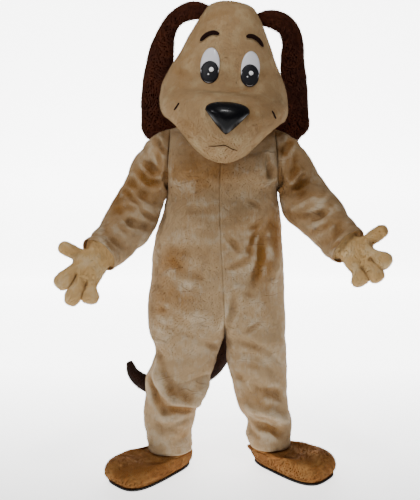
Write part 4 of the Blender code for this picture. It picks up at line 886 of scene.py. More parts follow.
for (name, blades, table), (points, _, wraps), normal, first, bare in zip(
        parts, creased, shared_normals(creased), suit, unfolded):
    ends = ("_upper", "_lower") if wraps else ("_top", "_middle", "_leg")
    piece, hairs = plush_wall(name, points, normal, wraps, usual_nap, "plush",
                              [name + end for end in ends], open_nap(points, normal, table), blades, bare)
    cloth(first[0], wraps)
    inner_walls[name] = points - normal * PLUSH

# ---- Head ----
# A hollow foam shell covered in the same plush, with a soft crease between the forehead and
# the long muzzle. It rests on the suit's neck band, turned and tilted a little.

# Head, upright and facing -Y before it is turned:
# front y, front height, side y, side height, half width, back y, back height, point of the face
HEAD = (
    (-0.030, 1.866, -0.030, 1.862, 0.050, -0.030, 1.866, 1.00),
    (-0.085, 1.856, -0.030, 1.846, 0.088, 0.035, 1.856, 1.00),
    (-0.125, 1.826, -0.030, 1.814, 0.110, 0.085, 1.826, 0.95),
    (-0.155, 1.780, -0.025, 1.770, 0.134, 0.125, 1.776, 0.92),
    (-0.176, 1.722, -0.020, 1.712, 0.162, 0.152, 1.714, 0.90),
    (-0.192, 1.655, -0.020, 1.648, 0.190, 0.170, 1.646, 0.88),
    (-0.202, 1.590, -0.020, 1.592, 0.220, 0.178, 1.584, 0.88),
    (-0.210, 1.540, -0.020, 1.545, 0.242, 0.180, 1.532, 0.90),
    (-0.226, 1.514, -0.022, 1.515, 0.250, 0.178, 1.500, 0.92),
    (-0.270, 1.503, -0.030, 1.488, 0.253, 0.174, 1.482, 0.94),
    (-0.328, 1.478, -0.040, 1.462, 0.252, 0.168, 1.468, 0.95),
    (-0.362, 1.420, -0.050, 1.440, 0.247, 0.160, 1.456, 0.96),
    (-0.358, 1.360, -0.056, 1.424, 0.239, 0.150, 1.446, 0.98),
    (-0.336, 1.314, -0.060, 1.414, 0.227, 0.142, 1.440, 1.00),
    (-0.300, 1.272, -0.056, 1.412, 0.208, 0.136, 1.436, 1.00),
    (-0.255, 1.250, -0.042, 1.414, 0.183, 0.130, 1.434, 1.00),
    (-0.212, 1.318, -0.026, 1.418, 0.156, 0.122, 1.434, 1.00),
    (-0.162, 1.394, -0.014, 1.418, 0.134, 0.112, 1.432, 1.00),
)
HEAD_RIM = (0.116, 0.106)  # half width and half depth of the rim on the neck band
HEAD_PIVOT = (0.007, 0.0, 1.510)
HEAD_ROLL = math.radians(4.5)
HEAD_YAW = math.radians(2.3)
HEAD_LEVEL_ROWS = (12.0, 16.0)  # below these rows the turn fades out towards the rim


def full_turn(count):
    """Angles spread evenly round a ring."""
    return np.linspace(0, 2 * math.pi, count, endpoint=False)


def head_sections(places, angles):
    """Points of the head's sections: angle 0 is the front, a quarter turn the left side."""
    rim = (NECK_CENTRE_Y - HEAD_RIM[1], NECK_CENTRE_Y, HEAD_RIM[0], NECK_CENTRE_Y + HEAD_RIM[1])
    lift = NECK_HEIGHT + SEAM_GAP
    last = (rim[0], lift - NECK_SLOPE * HEAD_RIM[1], rim[1], lift, rim[2],
            rim[3], lift + NECK_SLOPE * HEAD_RIM[1], 1.0)
    rows = through(numbered((*HEAD, last)), places)
    points = np.zeros((len(places), len(angles), 3))
    for k, (front_y, front_z, side_y, side_z, half, back_y, back_z, point) in enumerate(rows):
        s, c = np.sin(angles), np.cos(angles)
        x = half * np.sign(s) * np.abs(s) ** min(1.0, point)
        ahead = c >= 0
        y = np.where(ahead, side_y + (front_y - side_y) * np.abs(c) ** point,
                     side_y + (back_y - side_y) * np.abs(c))
        out = np.abs(x) / half
        z = np.where(ahead, front_z, back_z)
        z = z + (side_z - z) * out ** 2
        if places[k] >= len(HEAD):
            z = NECK_HEIGHT + SEAM_GAP + NECK_SLOPE * (y - NECK_CENTRE_Y)
        points[k] = np.stack([x, y, z], -1)
    held = np.interp(places, HEAD_LEVEL_ROWS, (1.0, 0.0))[:, None]
    return turned_head(points, held)


def turned_head(points, share=1.0):
    """Head points after its roll and yaw about the pivot, by the given share."""
    pivot = np.array(HEAD_PIVOT)
    x, y, z = (points[..., n] - (0, 0, pivot[2])[n] for n in range(3))
    roll, yaw = HEAD_ROLL * share, HEAD_YAW * share
    x, z = x * np.cos(roll) + z * np.sin(roll), -x * np.sin(roll) + z * np.cos(roll)
    x, y = x * np.cos(yaw) - y * np.sin(yaw), x * np.sin(yaw) + y * np.cos(yaw)
    return np.stack([x + pivot[0] * share, y, z + pivot[2]], -1)


HEAD_COLUMNS = 168
HEAD_PLACES = np.concatenate([np.linspace(0, 1, 7)[:-1], np.linspace(1, 18, 104)])
HEAD_WALL = 0.007
HEAD_RIPPLES = (((6, 6, 9), 0.005), ((17, 17, 24), 0.0014))
MUZZLE_CREASE = (5.5, 10.5, 6)  # softened between these rows of the table, in so many rounds
CROWN_SHARE = 0.02  # to which the crown's opening is drawn together
# Creases of the face, in the columns of the suit's folds
HEAD_FOLDS = (
    (-1, -0.115, 1.520, 0.000, 1.506, 0.014, -0.004),
    (-1, 0.000, 1.506, 0.120, 1.514, 0.014, -0.004),
    (-1, -0.200, 1.600, -0.128, 1.560, 0.018, -0.004),
    (-1, 0.140, 1.565, 0.205, 1.590, 0.013, -0.004),
    (-1, -0.150, 1.400, -0.060, 1.330, 0.016, -0.003),
    (-1, 0.170, 1.400, 0.090, 1.330, 0.016, -0.003),
    (1, -0.120, 1.520, 0.120, 1.510, 0.020, -0.006),
)
HEAD_NAP = (
    (-1, -0.150, 1.640, 0.060, 0.120, 0.35),
    (-1, 0.120, 1.420, 0.100, 0.050, 0.45),
    (-1, -0.130, 1.380, 0.090, 0.060, 0.35),
    (-1, 0.020, 1.800, 0.120, 0.040, 0.30),
    (1, 0.060, 1.620, 0.120, 0.120, 0.40),
)


def softened(points, places, first, last, times):
    """The grid's rows between two places drawn towards their neighbours, so a crease is soft."""
    share = np.clip(np.minimum(places - first, last - places), 0, 1)[:, None, None] * 0.5
    for _ in range(times):
        middle = (np.roll(points, 1, 0) + np.roll(points, -1, 0)) / 2
        points = points + (middle - points) * share
    return points


def with_ends(rings):
    """The rings' points in one list, with the middles of both ends as the last two."""
    return np.concatenate([rings.reshape(-1, 3), rings[0].mean(0)[None], rings[-1].mean(0)[None]])


def body_faces(rows, columns):
    """A wrapped grid's faces and a fan on each end, whose middles are the last two points."""
    faces = grid_faces(rows, columns, True)
    last = (rows - 1) * columns
    for j in range(columns):
        k = (j + 1) % columns
        faces += [(rows * columns, k, j), (rows * columns + 1, last + j, last + k)]
    return faces


def tree_of(points, faces):
    """A surface that rays can be cast at."""
    return BVHTree.FromPolygons([Vector(p) for p in np.reshape(points, (-1, 3))], faces)


def distances(starts, heading, otherwise, *trees):
    """How far each start is, along the heading, from the first of the trees that it meets."""
    heading = Vector(heading)
    return np.array([next((far for tree in trees if (far := tree.ray_cast(Vector(p), heading)[3])),
                          otherwise) for p in starts])


# The same plush, brushed shorter and stretched over foam, so it is even and shows no wrinkles
head_plush = plush("plush_head", "#9C7E5A", "#8C6436", "#B69C76", "#3C2412")
head = softened(head_sections(HEAD_PLACES, full_turn(HEAD_COLUMNS)), HEAD_PLACES, *MUZZLE_CREASE)
crown = head[0].mean(0)
head[0] = crown + (head[0] - crown) * CROWN_SHARE
head_normals = shared_normals([(head, 1, True)])[0]
smooth_head = head
head = folded(head, head_normals, HEAD_FOLDS)
head = rippled(head, head_normals, HEAD_RIPPLES)
head_normals = shared_normals([(head, 1, True)])[0]
head_skin = head - head_normals * PILE
head_tree = tree_of(head_skin, grid_faces(*head.shape[:2], True))

# ---- Eyes, brows, nose and mouth ----
# Moulded gloss eyes and nose pushed through the plush, felt brows, a mouth laid in dark cord,
# and dark marks at the cheeks, drawn as thin tubes.

# Face pieces, from the head's pivot: across, up, half width, half height
EYE_WHITE = (0.0745, 0.0912, 0.0350, 0.0638)
EYE_PUPIL = (0.0742, 0.0655, 0.0345, 0.0405)
NOSE = (0.000, -0.078, 0.078, 0.034, 0.080)  # across, up, half width, above, below
BROW = ((0.050, 0.208), (0.073, 0.212), (0.097, 0.203), (0.118, 0.181))
AHEAD_OF_FACE = -0.30  # y from which the pieces are laid back onto the face
EYE_WHITE_RINGS = (1.0, 0.8, 0.45)
EYE_WHITE_RISES = (0.002, 0.005, 0.008, 0.009)  # of each ring and the middle
EYE_PUPIL_RINGS = (1.0, 0.55)
EYE_PUPIL_RISES = (0.0012, 0.002, 0.0022)
GLINT_RISES = (0.0003, 0.0004, 0.0004)
NOSE_RINGS = (1.0, 0.93, 0.72, 0.4)
NOSE_RISES = (0.006, 0.016, 0.026, 0.032, 0.034)
NOSE_POINT = 1.22  # above 1 rounds off the lower point
BROW_HALF_WIDTH = 0.00816
BROW_THICKNESS = 0.006


def face_ring(across, up, half_width, half_height, sides):
    """An outline on the face, in the head's own frame before it is turned."""
    angle = full_turn(sides)
    return np.stack([across + half_width * np.cos(angle), up + half_height * np.sin(angle)], -1)


def on_face(flat):
    """Face points (across, up) turned with the head, ahead of the face."""
    y = np.full(flat.shape[:-1], AHEAD_OF_FACE)
    return turned_head(np.stack([flat[..., 0], y, flat[..., 1] + HEAD_PIVOT[2]], -1))


# Painted highlights on the pupils, where the lights would reflect: across, up, radius
GLINTS = (
    (-0.0681, 0.0748, 0.0085),
    (-0.0777, 0.0574, 0.0028),
    (0.0777, 0.0743, 0.0080),
    (0.0650, 0.0598, 0.0026),
)
# Lines of the mouth's cord and of the dark cheek marks: across, up
MOUTH = ((-0.0570, -0.2020), (-0.0370, -0.2010), (-0.0170, -0.1975), (-0.0010, -0.1950), (0.0100, -0.1985),
         (0.0270, -0.2055), (0.0470, -0.2100))
CHEEKS = (
    ((-0.1906, -0.0831), (-0.1837, -0.074), (-0.1772, -0.063), (-0.174, -0.0576)),
    ((0.1601, -0.0595), (0.1665, -0.0677), (0.1732, -0.0795), (0.1779, -0.0845)),
)
AHEAD = np.array((0.0, 1.0, 0.0))
CLEAR_AHEAD = 0.2  # how much further ahead the rays that find the face start


def raised_piece(name, flat, faces, sides, lift, tree, finish, slot, nodes, sink=0.001):
    """A piece laid on the face: its back follows the tree, its front stands off by the lift.

    The first of its points, as many as it has sides, are its outline.
    """
    start = on_face(flat) - AHEAD * CLEAR_AHEAD
    back = start + AHEAD * (distances(start, AHEAD, CLEAR_AHEAD, tree, head_tree) + sink)[:, None]
    front = back - AHEAD * (lift + sink)[:, None]
    count = len(back)
    edge = [(j, (j + 1) % sides, (j + 1) % sides + count, j + count) for j in range(sides)]
    rear = [tuple(n + count for n in face[::-1]) for face in faces]
    every = faces + rear + edge
    points = np.concatenate([back, front])
    add_piece(name, points, every, finish, slot, nodes)
    return points, every


def badge(name, rings, rises, *where):
    """A domed piece of nested outlines about a centre, each with its own height."""
    sides = len(rings[0])
    flat = np.concatenate([*rings, rings[-1].mean(0)[None]])
    last = (len(rings) - 1) * sides
    faces = grid_faces(len(rings), sides, True)
    faces += [(last + j, len(flat) - 1, last + (j + 1) % sides) for j in range(sides)]
    lift = np.repeat(np.array(rises), [sides] * len(rings) + [1])
    return raised_piece(name, flat, faces, sides, lift, *where)


def domed(rises, shares, count):
    """Shares and rises of more rings than the table's, with the last for the middle."""
    places = np.append(np.linspace(1.0, 0.06, count), 0.0)
    table = sorted(zip((*shares, 0.0), rises))
    return places[:-1], np.interp(places, *zip(*table))


def oval_rings(side, oval, shares, sides):
    """Nested outlines of an oval on one side of the face."""
    across, up, half_width, half_height = oval
    return [face_ring(side * across, up, half_width * k, half_height * k, sides) for k in shares]


def cord_on_face(name, line, radius):
    """A thin dark tube laid along a line on the face."""
    rows = through(numbered(line), np.linspace(0, len(line) - 1, 8 * len(line)))
    start = on_face(rows) - AHEAD * CLEAR_AHEAD
    path = start + AHEAD * distances(start, AHEAD, CLEAR_AHEAD, head_tree)[:, None] - AHEAD * PILE * 0.6
    along = unit(np.gradient(path, axis=0))
    aside = unit(np.cross(along, AHEAD))
    up = np.cross(aside, along)
    turn = full_turn(10)
    taper = radius * (1 - np.linspace(-0.97, 0.97, len(path)) ** 2)[:, None] ** 0.25
    rings = rings_along(path, aside, taper * np.cos(turn), up, taper * np.sin(turn))
    add_piece(name, with_ends(rings), body_faces(*rings.shape[:2]), brow_felt, "brow_felt")


# Polystyrene, vacuum-formed and lacquered: a cool white with a small wet highlight
eye_white = plain("eye_white_gloss_plastic", "#DEDCE0", 0.16, 0.6)
# ABS, moulded glossy: black, with one broad highlight on top of the nose
gloss_black = plain("black_gloss_plastic", "#08080B", 0.27, 0.0, 0.18)
# ABS, moulded satin: a black that stays dark next to the white
pupil_black = plain("black_satin_plastic", "#1E1E22", 0.5, 0.0, 0.2)
# White paint on the pupils: dots of painted highlight in place of the lights' reflections
painted_glint_white = plain("white_print", "#FFFFFF", 0.30)
# Wool felt, pressed stiff, and cord: near-black brown and quite matt
brow_felt = plain("brow_felt", "#1C0A06", 0.95, 0.0, 0.1)

hard = []
for side, word in ((-1, "right"), (1, "left")):
    shares, rises = domed(EYE_WHITE_RISES, EYE_WHITE_RINGS, 9)
    white = badge("eye_white_" + word, oval_rings(side, EYE_WHITE, shares, 64), rises + PILE, head_tree,
                  eye_white, "eye_white", ["eye_white_" + word])
    shares, rises = domed(EYE_PUPIL_RISES, EYE_PUPIL_RINGS, 7)
    pupil = badge("pupil_" + word, oval_rings(side, EYE_PUPIL, shares, 56), rises, tree_of(*white),
                  pupil_black, "black_plastic", ["pupil_" + word], 0.0005)
    # Painted highlights on each pupil
    for n, (across, up, radius) in enumerate(GLINTS):
        if across * side > 0:
            rings = oval_rings(1, (across, up, radius, radius), (1.0, 0.5), 24)
            badge("glint_%d" % n, rings, GLINT_RISES, tree_of(*pupil), painted_glint_white, "eye_white", [], 0.0)
    hard.append(white)
across, up, half_width, above, below = NOSE
c, s = np.cos(full_turn(72)), np.sin(full_turn(72))
height = np.where(s >= 0, above * np.abs(s) ** 0.7, -below * (1 - np.abs(c) ** NOSE_POINT))
middle = np.array((0, -below / 4))
outline = np.stack([half_width * c, height], -1) - middle
shares, rises = domed(NOSE_RISES, NOSE_RINGS, 16)
rings = [outline * k + middle + np.array((across, up)) for k in shares]
hard.append(badge("nose", rings, rises + PILE, head_tree, gloss_black, "black_plastic", ["nose"]))
for side, word in ((-1, "right"), (1, "left")):
    count = 40
    rows = through(numbered(BROW), np.linspace(0, len(BROW) - 1, count))
    along = unit(np.gradient(rows, axis=0))
    cross = np.stack([-along[:, 1], along[:, 0]], -1)
    taper = (1 - np.linspace(-0.985, 0.985, count) ** 4) ** 0.5
    half = cross * (BROW_HALF_WIDTH * taper)[:, None]
    ring = np.concatenate([rows + half, (rows - half)[::-1]])
    middle = np.concatenate([rows, rows[::-1]])
    rings = [ring * k + middle * (1 - k) for k in (1.0, 0.8, 0.4)]
    flat = np.concatenate(rings) * np.array((side, 1))
    faces = grid_faces(3, 2 * count, True)
    first = 4 * count
    faces += [(first + n, first + n + 1, first + 2 * count - 2 - n, first + 2 * count - 1 - n)
              for n in range(count - 1)]
    lift = np.repeat((0.5, 0.85, 1.0), 2 * count) * BROW_THICKNESS + PILE
    hard.append(raised_piece("brow_" + word, flat, faces, 2 * count, lift, head_tree, brow_felt,
                             "brow_felt", ["brow_" + word]))
cord_on_face("mouth", MOUTH, 0.0013)
for n, line in enumerate(CHEEKS):
    cord_on_face("cheek_mark_%d" % n, line, 0.0034)

first, hard_points, hard_faces = 0, [], []
for points, faces in hard:
    hard_faces += [tuple(first + n for n in face) for face in faces]
    hard_points.append(points)
    first += len(points)
hard_tree = tree_of(np.concatenate(hard_points), hard_faces)
nap = open_nap(head, head_normals, HEAD_NAP)
head_nodes = ["head_face", "head_muzzle_right", "head_muzzle_left", "head_jaw_right", "head_jaw_left",
              "head_back_right", "head_back_left"]
piece, _ = plush_wall("head", head, head_normals, True, head_plush, "head_plush", head_nodes, nap, 110000,
                      length=0.0040, under=hard_tree, thickness=HEAD_WALL, smooth=smooth_head)

# ---- Ears ----
# Long dark plush ears, lightly stuffed with wadding and closed by a hidden seam round the
# edge. Each is sewn to the crown by its root and hangs past the cheek.

# Ears: x, y, height, half width, half thickness and turn from facing front in degrees of
# each section, from the root down
RIGHT_EAR = (
    (-0.070, 0.000, 1.834, 0.036, 0.016, 24),
    (-0.128, 0.004, 1.834, 0.042, 0.018, 24),
    (-0.182, 0.016, 1.808, 0.040, 0.018, 24),
    (-0.216, 0.038, 1.760, 0.044, 0.018, 24),
    (-0.236, 0.066, 1.702, 0.056, 0.018, 24),
    (-0.250, 0.100, 1.630, 0.069, 0.018, 22),
    (-0.257, 0.134, 1.550, 0.077, 0.018, 18),
    (-0.258, 0.160, 1.465, 0.084, 0.018, 14),
    (-0.254, 0.168, 1.390, 0.086, 0.018, 12),
    (-0.252, 0.168, 1.352, 0.064, 0.014, 12),
    (-0.252, 0.168, 1.334, 0.034, 0.009, 12),
)
LEFT_EAR = (
    (0.152, 0.000, 1.806, 0.034, 0.016, 24),
    (0.204, 0.004, 1.800, 0.044, 0.018, 24),
    (0.252, 0.016, 1.776, 0.048, 0.018, 24),
    (0.276, 0.038, 1.722, 0.052, 0.018, 24),
    (0.280, 0.066, 1.655, 0.057, 0.018, 24),
    (0.288, 0.102, 1.580, 0.062, 0.019, 20),
    (0.293, 0.134, 1.510, 0.070, 0.019, 16),
    (0.288, 0.156, 1.450, 0.080, 0.019, 12),
    (0.284, 0.164, 1.395, 0.086, 0.018, 12),
    (0.288, 0.166, 1.352, 0.064, 0.014, 12),
    (0.296, 0.166, 1.326, 0.030, 0.009, 12),
)
EAR_ROWS = 90
EAR_COLUMNS = 64
EAR_CLEAR = 0.15  # how far off the root starts before it is laid onto the head
STUFFED_RIPPLES = (((8, 8, 12), 0.004), ((22, 22, 30), 0.002), ((50, 50, 60), 0.0008))


def outward(normals, points, middle):
    """The normals, turned round if they point inward on the whole."""
    return -normals if (normals * (points - middle)).sum() < 0 else normals


def plush_body(name, rings, finish, slot, blades, length, lean=(0.0, 0.0, -1.0)):
    """A stuffed plush piece with closed ends, and the pile on it."""
    rows, columns = rings.shape[:2]
    normals = shared_normals([(rings, 1, True)])[0]
    normals = outward(normals, rings, rings.mean(1, keepdims=True))
    raised = rippled(rings, normals, STUFFED_RIPPLES)
    raised[:2] = rings[:2]
    skin = raised - normals * PILE
    # Painted shade in the hollows of the stuffing's ripples, and a little painted highlight on its swells
    crease = np.clip(hollows(skin, normals, True) / 0.004, -0.3, 1)
    nap = np.zeros(rings.shape[:2])
    points = with_ends(skin)
    piece = add_piece(name, points, body_faces(rows, columns), finish, slot, [name],
                      nap=np.zeros(len(points)), crease=np.append(crease, (0.0, 0.0)),
                      tip=np.zeros(len(points)))
    pile(name + "_pile", skin.reshape(-1, 3), halved(grid_faces(rows, columns, True)),
         normals.reshape(-1, 3), nap, crease, blades, length, finish, lean)
    return piece


def ear_rings(side, table):
    """The rings of an ear, from where it is sewn to the head down to its tip."""
    rows = through(numbered(table), np.linspace(0, len(table) - 1, EAR_ROWS + 1))
    path = rows[:, :3]
    along = unit(np.gradient(path, axis=0))
    back = np.array((0, 1.0, 0))
    across = side * unit(np.cross(along, back))
    behind = unit(back - (along @ back)[:, None] * along)
    turn = np.radians(rows[:, 5, None])
    wide = across * np.cos(turn) + behind * np.sin(turn)
    thick = np.cross(along, wide)
    angle = full_turn(EAR_COLUMNS)
    reach = np.sign(np.cos(angle)) * np.abs(np.cos(angle)) ** 0.85
    rings = rings_along(path, wide, rows[:, 3, None] * reach, thick, rows[:, 4, None] * np.sin(angle))
    heading = unit(np.array((-side, 0.0, -0.45)))
    start = rings[0] - heading * EAR_CLEAR
    rings[0] = start + heading * distances(start, heading, EAR_CLEAR, head_tree)[:, None]
    return rings


# Long-pile plush dyed chocolate: dark, with a reddish cast where the light grazes it
ear_plush = plush("plush_ear", "#3A1A0E", "#5A2A14", "#4E2614", "#1C0C07", 143.0, 0.12)
for side, word, table in ((-1, "right", RIGHT_EAR), (1, "left", LEFT_EAR)):
    piece = plush_body("ear_" + word, ear_rings(side, table), ear_plush, "ear_plush", 26000, 0.008)

# ---- Tail ----
# A stuffed plush tail, sewn as a tube that narrows to a rounded tip. It is fixed low on the
# back by its thick end and curls to the wearer's right.

# Tail: x, y, height, radius
TAIL = (
    (0.012, 0.180, 0.612, 0.046),
    (0.017, 0.236, 0.592, 0.045),
    (0.020, 0.252, 0.520, 0.044),
    (0.012, 0.258, 0.430, 0.043),
    (-0.024, 0.256, 0.350, 0.042),
    (-0.108, 0.246, 0.284, 0.041),
    (-0.215, 0.236, 0.254, 0.040),
    (-0.315, 0.224, 0.266, 0.039),
    (-0.382, 0.212, 0.316, 0.031),
    (-0.404, 0.206, 0.376, 0.017),
)
TAIL_ROWS = 110
TAIL_COLUMNS = 44
TAIL_PRESSED = 0.001
TAIL_START = 0.30  # y from which the root is laid onto the back
TAIL_CLEAR = 0.12  # the way to the suit's back from where the root starts

rows = through(numbered(TAIL), np.linspace(0, len(TAIL) - 1, TAIL_ROWS + 1))
path = rows[:, :3]
along = unit(np.gradient(path, axis=0))
up = unit(np.array((0, 1.0, 0.0)) - along[:, 1:2] * along)
aside = np.cross(along, up)
angle = full_turn(TAIL_COLUMNS)
rings = rings_along(path, up, rows[:, 3, None] * np.cos(angle), aside, rows[:, 3, None] * np.sin(angle))
suit_back = np.array([creased[n][0] for n in (2, 3)])
back_faces = grid_faces(*suit_back.shape[1:3], False)
back_faces += grid_faces(*suit_back.shape[1:3], False, suit_back[0].size // 3)
back_tree = tree_of(suit_back, back_faces)
rings[0] = np.stack([rings[0][:, 0], np.full(TAIL_COLUMNS, TAIL_START),
                     rows[0, 2] + rows[0, 3] * np.cos(angle)], -1)
rings[0][:, 1] -= distances(rings[0], (0, -1, 0), TAIL_CLEAR, back_tree) + TAIL_PRESSED
# The same long pile dyed near-black: only its edges catch the light
tail_plush = plush("plush_tail", "#20120C", "#341A0E", "#2C1A14", "#0C0604", 143.0, 0.10)
piece = plush_body("tail", rings, tail_plush, "tail_plush", 20000, 0.007, (-1.0, 0.0, -0.4))

# ---- Gloves ----
# Plush mitts with a thumb and three fat fingers, lightly padded and sewn from a palm and a
# back. Their wrists are tucked into the sleeves' cuffs.

# Gloves: outward x, y, height of the wrist, palm, knuckles and digit tips
RIGHT_HAND = {
    "wrist": (0.448, -0.208, 0.920),
    "palm": (0.497, -0.262, 0.872),
    "knuckles": (0.520, -0.282, 0.835),
    "thumb": (0.592, -0.300, 0.958),
    "first": (0.602, -0.312, 0.798),
    "middle": (0.562, -0.314, 0.734),
    "last": (0.496, -0.300, 0.736),
}
LEFT_HAND = {
    "wrist": (0.452, -0.208, 0.952),
    "palm": (0.500, -0.262, 0.916),
    "knuckles": (0.522, -0.282, 0.890),
    "thumb": (0.594, -0.300, 1.020),
    "first": (0.606, -0.312, 0.880),
    "middle": (0.576, -0.314, 0.824),
    "last": (0.515, -0.300, 0.806),
}
PALM_WIDTH = 0.122
PALM_THICKNESS = 0.066
# Share of the way to the knuckles, shares of the width and thickness there
PALM = ((0.0, 0.80, 1.10), (0.35, 1.0, 1.10), (0.75, 1.12, 1.05), (1.0, 1.10, 0.95))
PALM_CORNERS = ((-1, -1), (-1 / 3, -1), (1 / 3, -1), (1, -1), (1, 1), (1 / 3, 1), (-1 / 3, 1), (-1, 1))
# Share of the length and half width of a digit's rings
FINGER = ((0.35, 0.044), (0.62, 0.046), (0.85, 0.040), (1.0, 0.018))
THUMB = ((0.25, 0.036), (0.55, 0.034), (0.85, 0.032), (1.0, 0.022))
GLOVE_WALL = 0.003
GLOVE_RIPPLES = (((14, 14, 14), 0.004), ((40, 40, 40), 0.0014))
# Clefts: the digits they part, and how far they reach towards the palm
CLEFTS = (("first", "middle", 0.62), ("middle", "last", 0.62), ("thumb", "first", 0.45))
TUCKED_ROW = -4  # of the sleeve, where the glove's wrist is tucked in
TUCKED_GAP = 0.001
CLEFT_WIDTH = 0.0065
CLEFT_DEPTH = 0.005


def on_side(hand, side):
    """The hand's places as points on the right or left side."""
    return {key: np.array(place) * np.array((side, 1, 1)) for key, place in hand.items()}


def glove_mesh(name, side, hand, cuff_ring):
    """The glove's outer surface, rounded off from a cage of a palm and four digits."""
    at = on_side(hand, side)
    down = unit(at["knuckles"] - at["wrist"])
    spread = at["last"] - at["first"]
    spread = unit(spread - (spread @ down) * down)
    face = unit(np.cross(down, spread))
    if face[1] > 0:
        face = -face
    bm = bmesh.new()
    stations = []
    for share, wide, thick in PALM:
        centre = at["wrist"] * (1 - share) + at["knuckles"] * share
        across, deep = spread * wide * PALM_WIDTH / 2, face * thick * PALM_THICKNESS / 2
        stations.append([bm.verts.new(centre + across * u + deep * v) for u, v in PALM_CORNERS])
    for lower, upper in zip(stations, stations[1:]):
        join_rings(bm, lower, upper)
    end = stations[-1]
    for k, finger in enumerate(("first", "middle", "last")):
        base = [end[k], end[k + 1], end[6 - k], end[7 - k]]
        grow_digit(bm, base, at[finger], face, FINGER)
    edge = {stations[1][7], stations[1][0], stations[2][0], stations[2][7]}
    thumb_face = next(f for f in bm.faces if set(f.verts) == edge)
    base = list(thumb_face.verts)
    bm.faces.remove(thumb_face)
    grow_digit(bm, base, at["thumb"], face, THUMB)
    bmesh.ops.recalc_face_normals(bm, faces=bm.faces)
    mesh = bpy.data.meshes.new(name)
    bm.to_mesh(mesh)
    bm.free()
    mesh = subdivided(mesh, 1)
    bm = bmesh.new()
    bm.from_mesh(mesh)
    rim = [v for v in bm.verts if v.is_boundary]
    fit_to_ring(rim, resampled(cuff_ring, len(rim)))
    bmesh.ops.recalc_face_normals(bm, faces=bm.faces)
    bm.to_mesh(mesh)
    bm.free()
    return subdivided(mesh, 2)


def subdivided(mesh, levels):
    """The mesh rounded off by subdivision."""
    cage = bpy.data.objects.new("cage", mesh)
    bpy.context.scene.collection.objects.link(cage)
    cage.modifiers.new("round", "SUBSURF").levels = levels
    graph = bpy.context.evaluated_depsgraph_get()
    rounded = bpy.data.meshes.new_from_object(cage.evaluated_get(graph))
    bpy.data.objects.remove(cage)
    return rounded


def resampled(ring, count):
    """The closed ring's points spread evenly, as many as the count."""
    closed = np.concatenate([ring, ring[:1]])
    along = np.concatenate([[0], np.cumsum(np.linalg.norm(np.diff(closed, axis=0), axis=1))])
    places = np.linspace(0, along[-1], count, endpoint=False)
    return np.stack([np.interp(places, along, closed[:, n]) for n in range(3)], -1)


def join_rings(bm, lower, upper):
    """Faces between two rings with as many corners each."""
    for k in range(len(lower)):
        m = (k + 1) % len(lower)
        bm.faces.new((lower[k], lower[m], upper[m], upper[k]))


def grow_digit(bm, base, tip, face, shares):
    """A digit as rings grown from four corners of the palm towards its tip."""
    corners = np.array([v.co for v in base])
    start = corners.mean(0)
    along = unit(tip - start)
    length = np.linalg.norm(tip - start)
    side_axis = unit(np.cross(along, face))
    up_axis = np.cross(side_axis, along)
    flat = np.stack([(corners - start) @ side_axis, (corners - start) @ up_axis], -1)
    signs = np.sign(flat)
    previous = base
    for share, radius in shares:
        centre = start + along * length * share
        ring = [bm.verts.new(centre + (side_axis * u + up_axis * v) * radius) for u, v in signs]
        join_rings(bm, previous, ring)
        previous = ring
    bm.faces.new(previous)


def fit_to_ring(rim, ring):
    """Moves the rim's points onto the ring's, in the order round it that turns them least."""
    centre = np.mean([v.co for v in rim], axis=0)
    ordered = [rim[0]]
    while len(ordered) < len(rim):
        last = ordered[-1]
        ordered.append(next(e.other_vert(last) for e in last.link_edges
                            if e.is_boundary and e.other_vert(last) not in ordered))
    places = np.array([v.co for v in ordered]) - centre
    best = None
    for way in (1, -1):
        for shift in range(len(ring)):
            trial = np.roll(ring[::way], shift, axis=0)
            cost = ((unit(trial - ring.mean(0)) - unit(places)) ** 2).sum()
            if best is None or cost < best[0]:
                best = (cost, trial)
    for vertex, place in zip(ordered, best[1]):
        vertex.co = place


def clefts(points, normals, hand, side):
    """How far each point lies in the clefts between the digits, from 0 to 1."""
    at = on_side(hand, side)
    result = np.zeros(len(points))
    for one, other, reach in CLEFTS:
        start = (at[one] + at[other]) / 2
        line = at["wrist"] * 0.3 + at["palm"] * 0.7 - start
        reach = reach + 0.25
        along = np.clip((points - start) @ line / (line @ line), 0, reach)
        off = points - start - along[:, None] * line
        off = off - (off * normals).sum(1, keepdims=True) * normals
        ease = np.clip((reach - along) / 0.35, 0, 1)
        result = np.maximum(result, ease * bell(np.linalg.norm(off, axis=1), CLEFT_WIDTH))
    return result


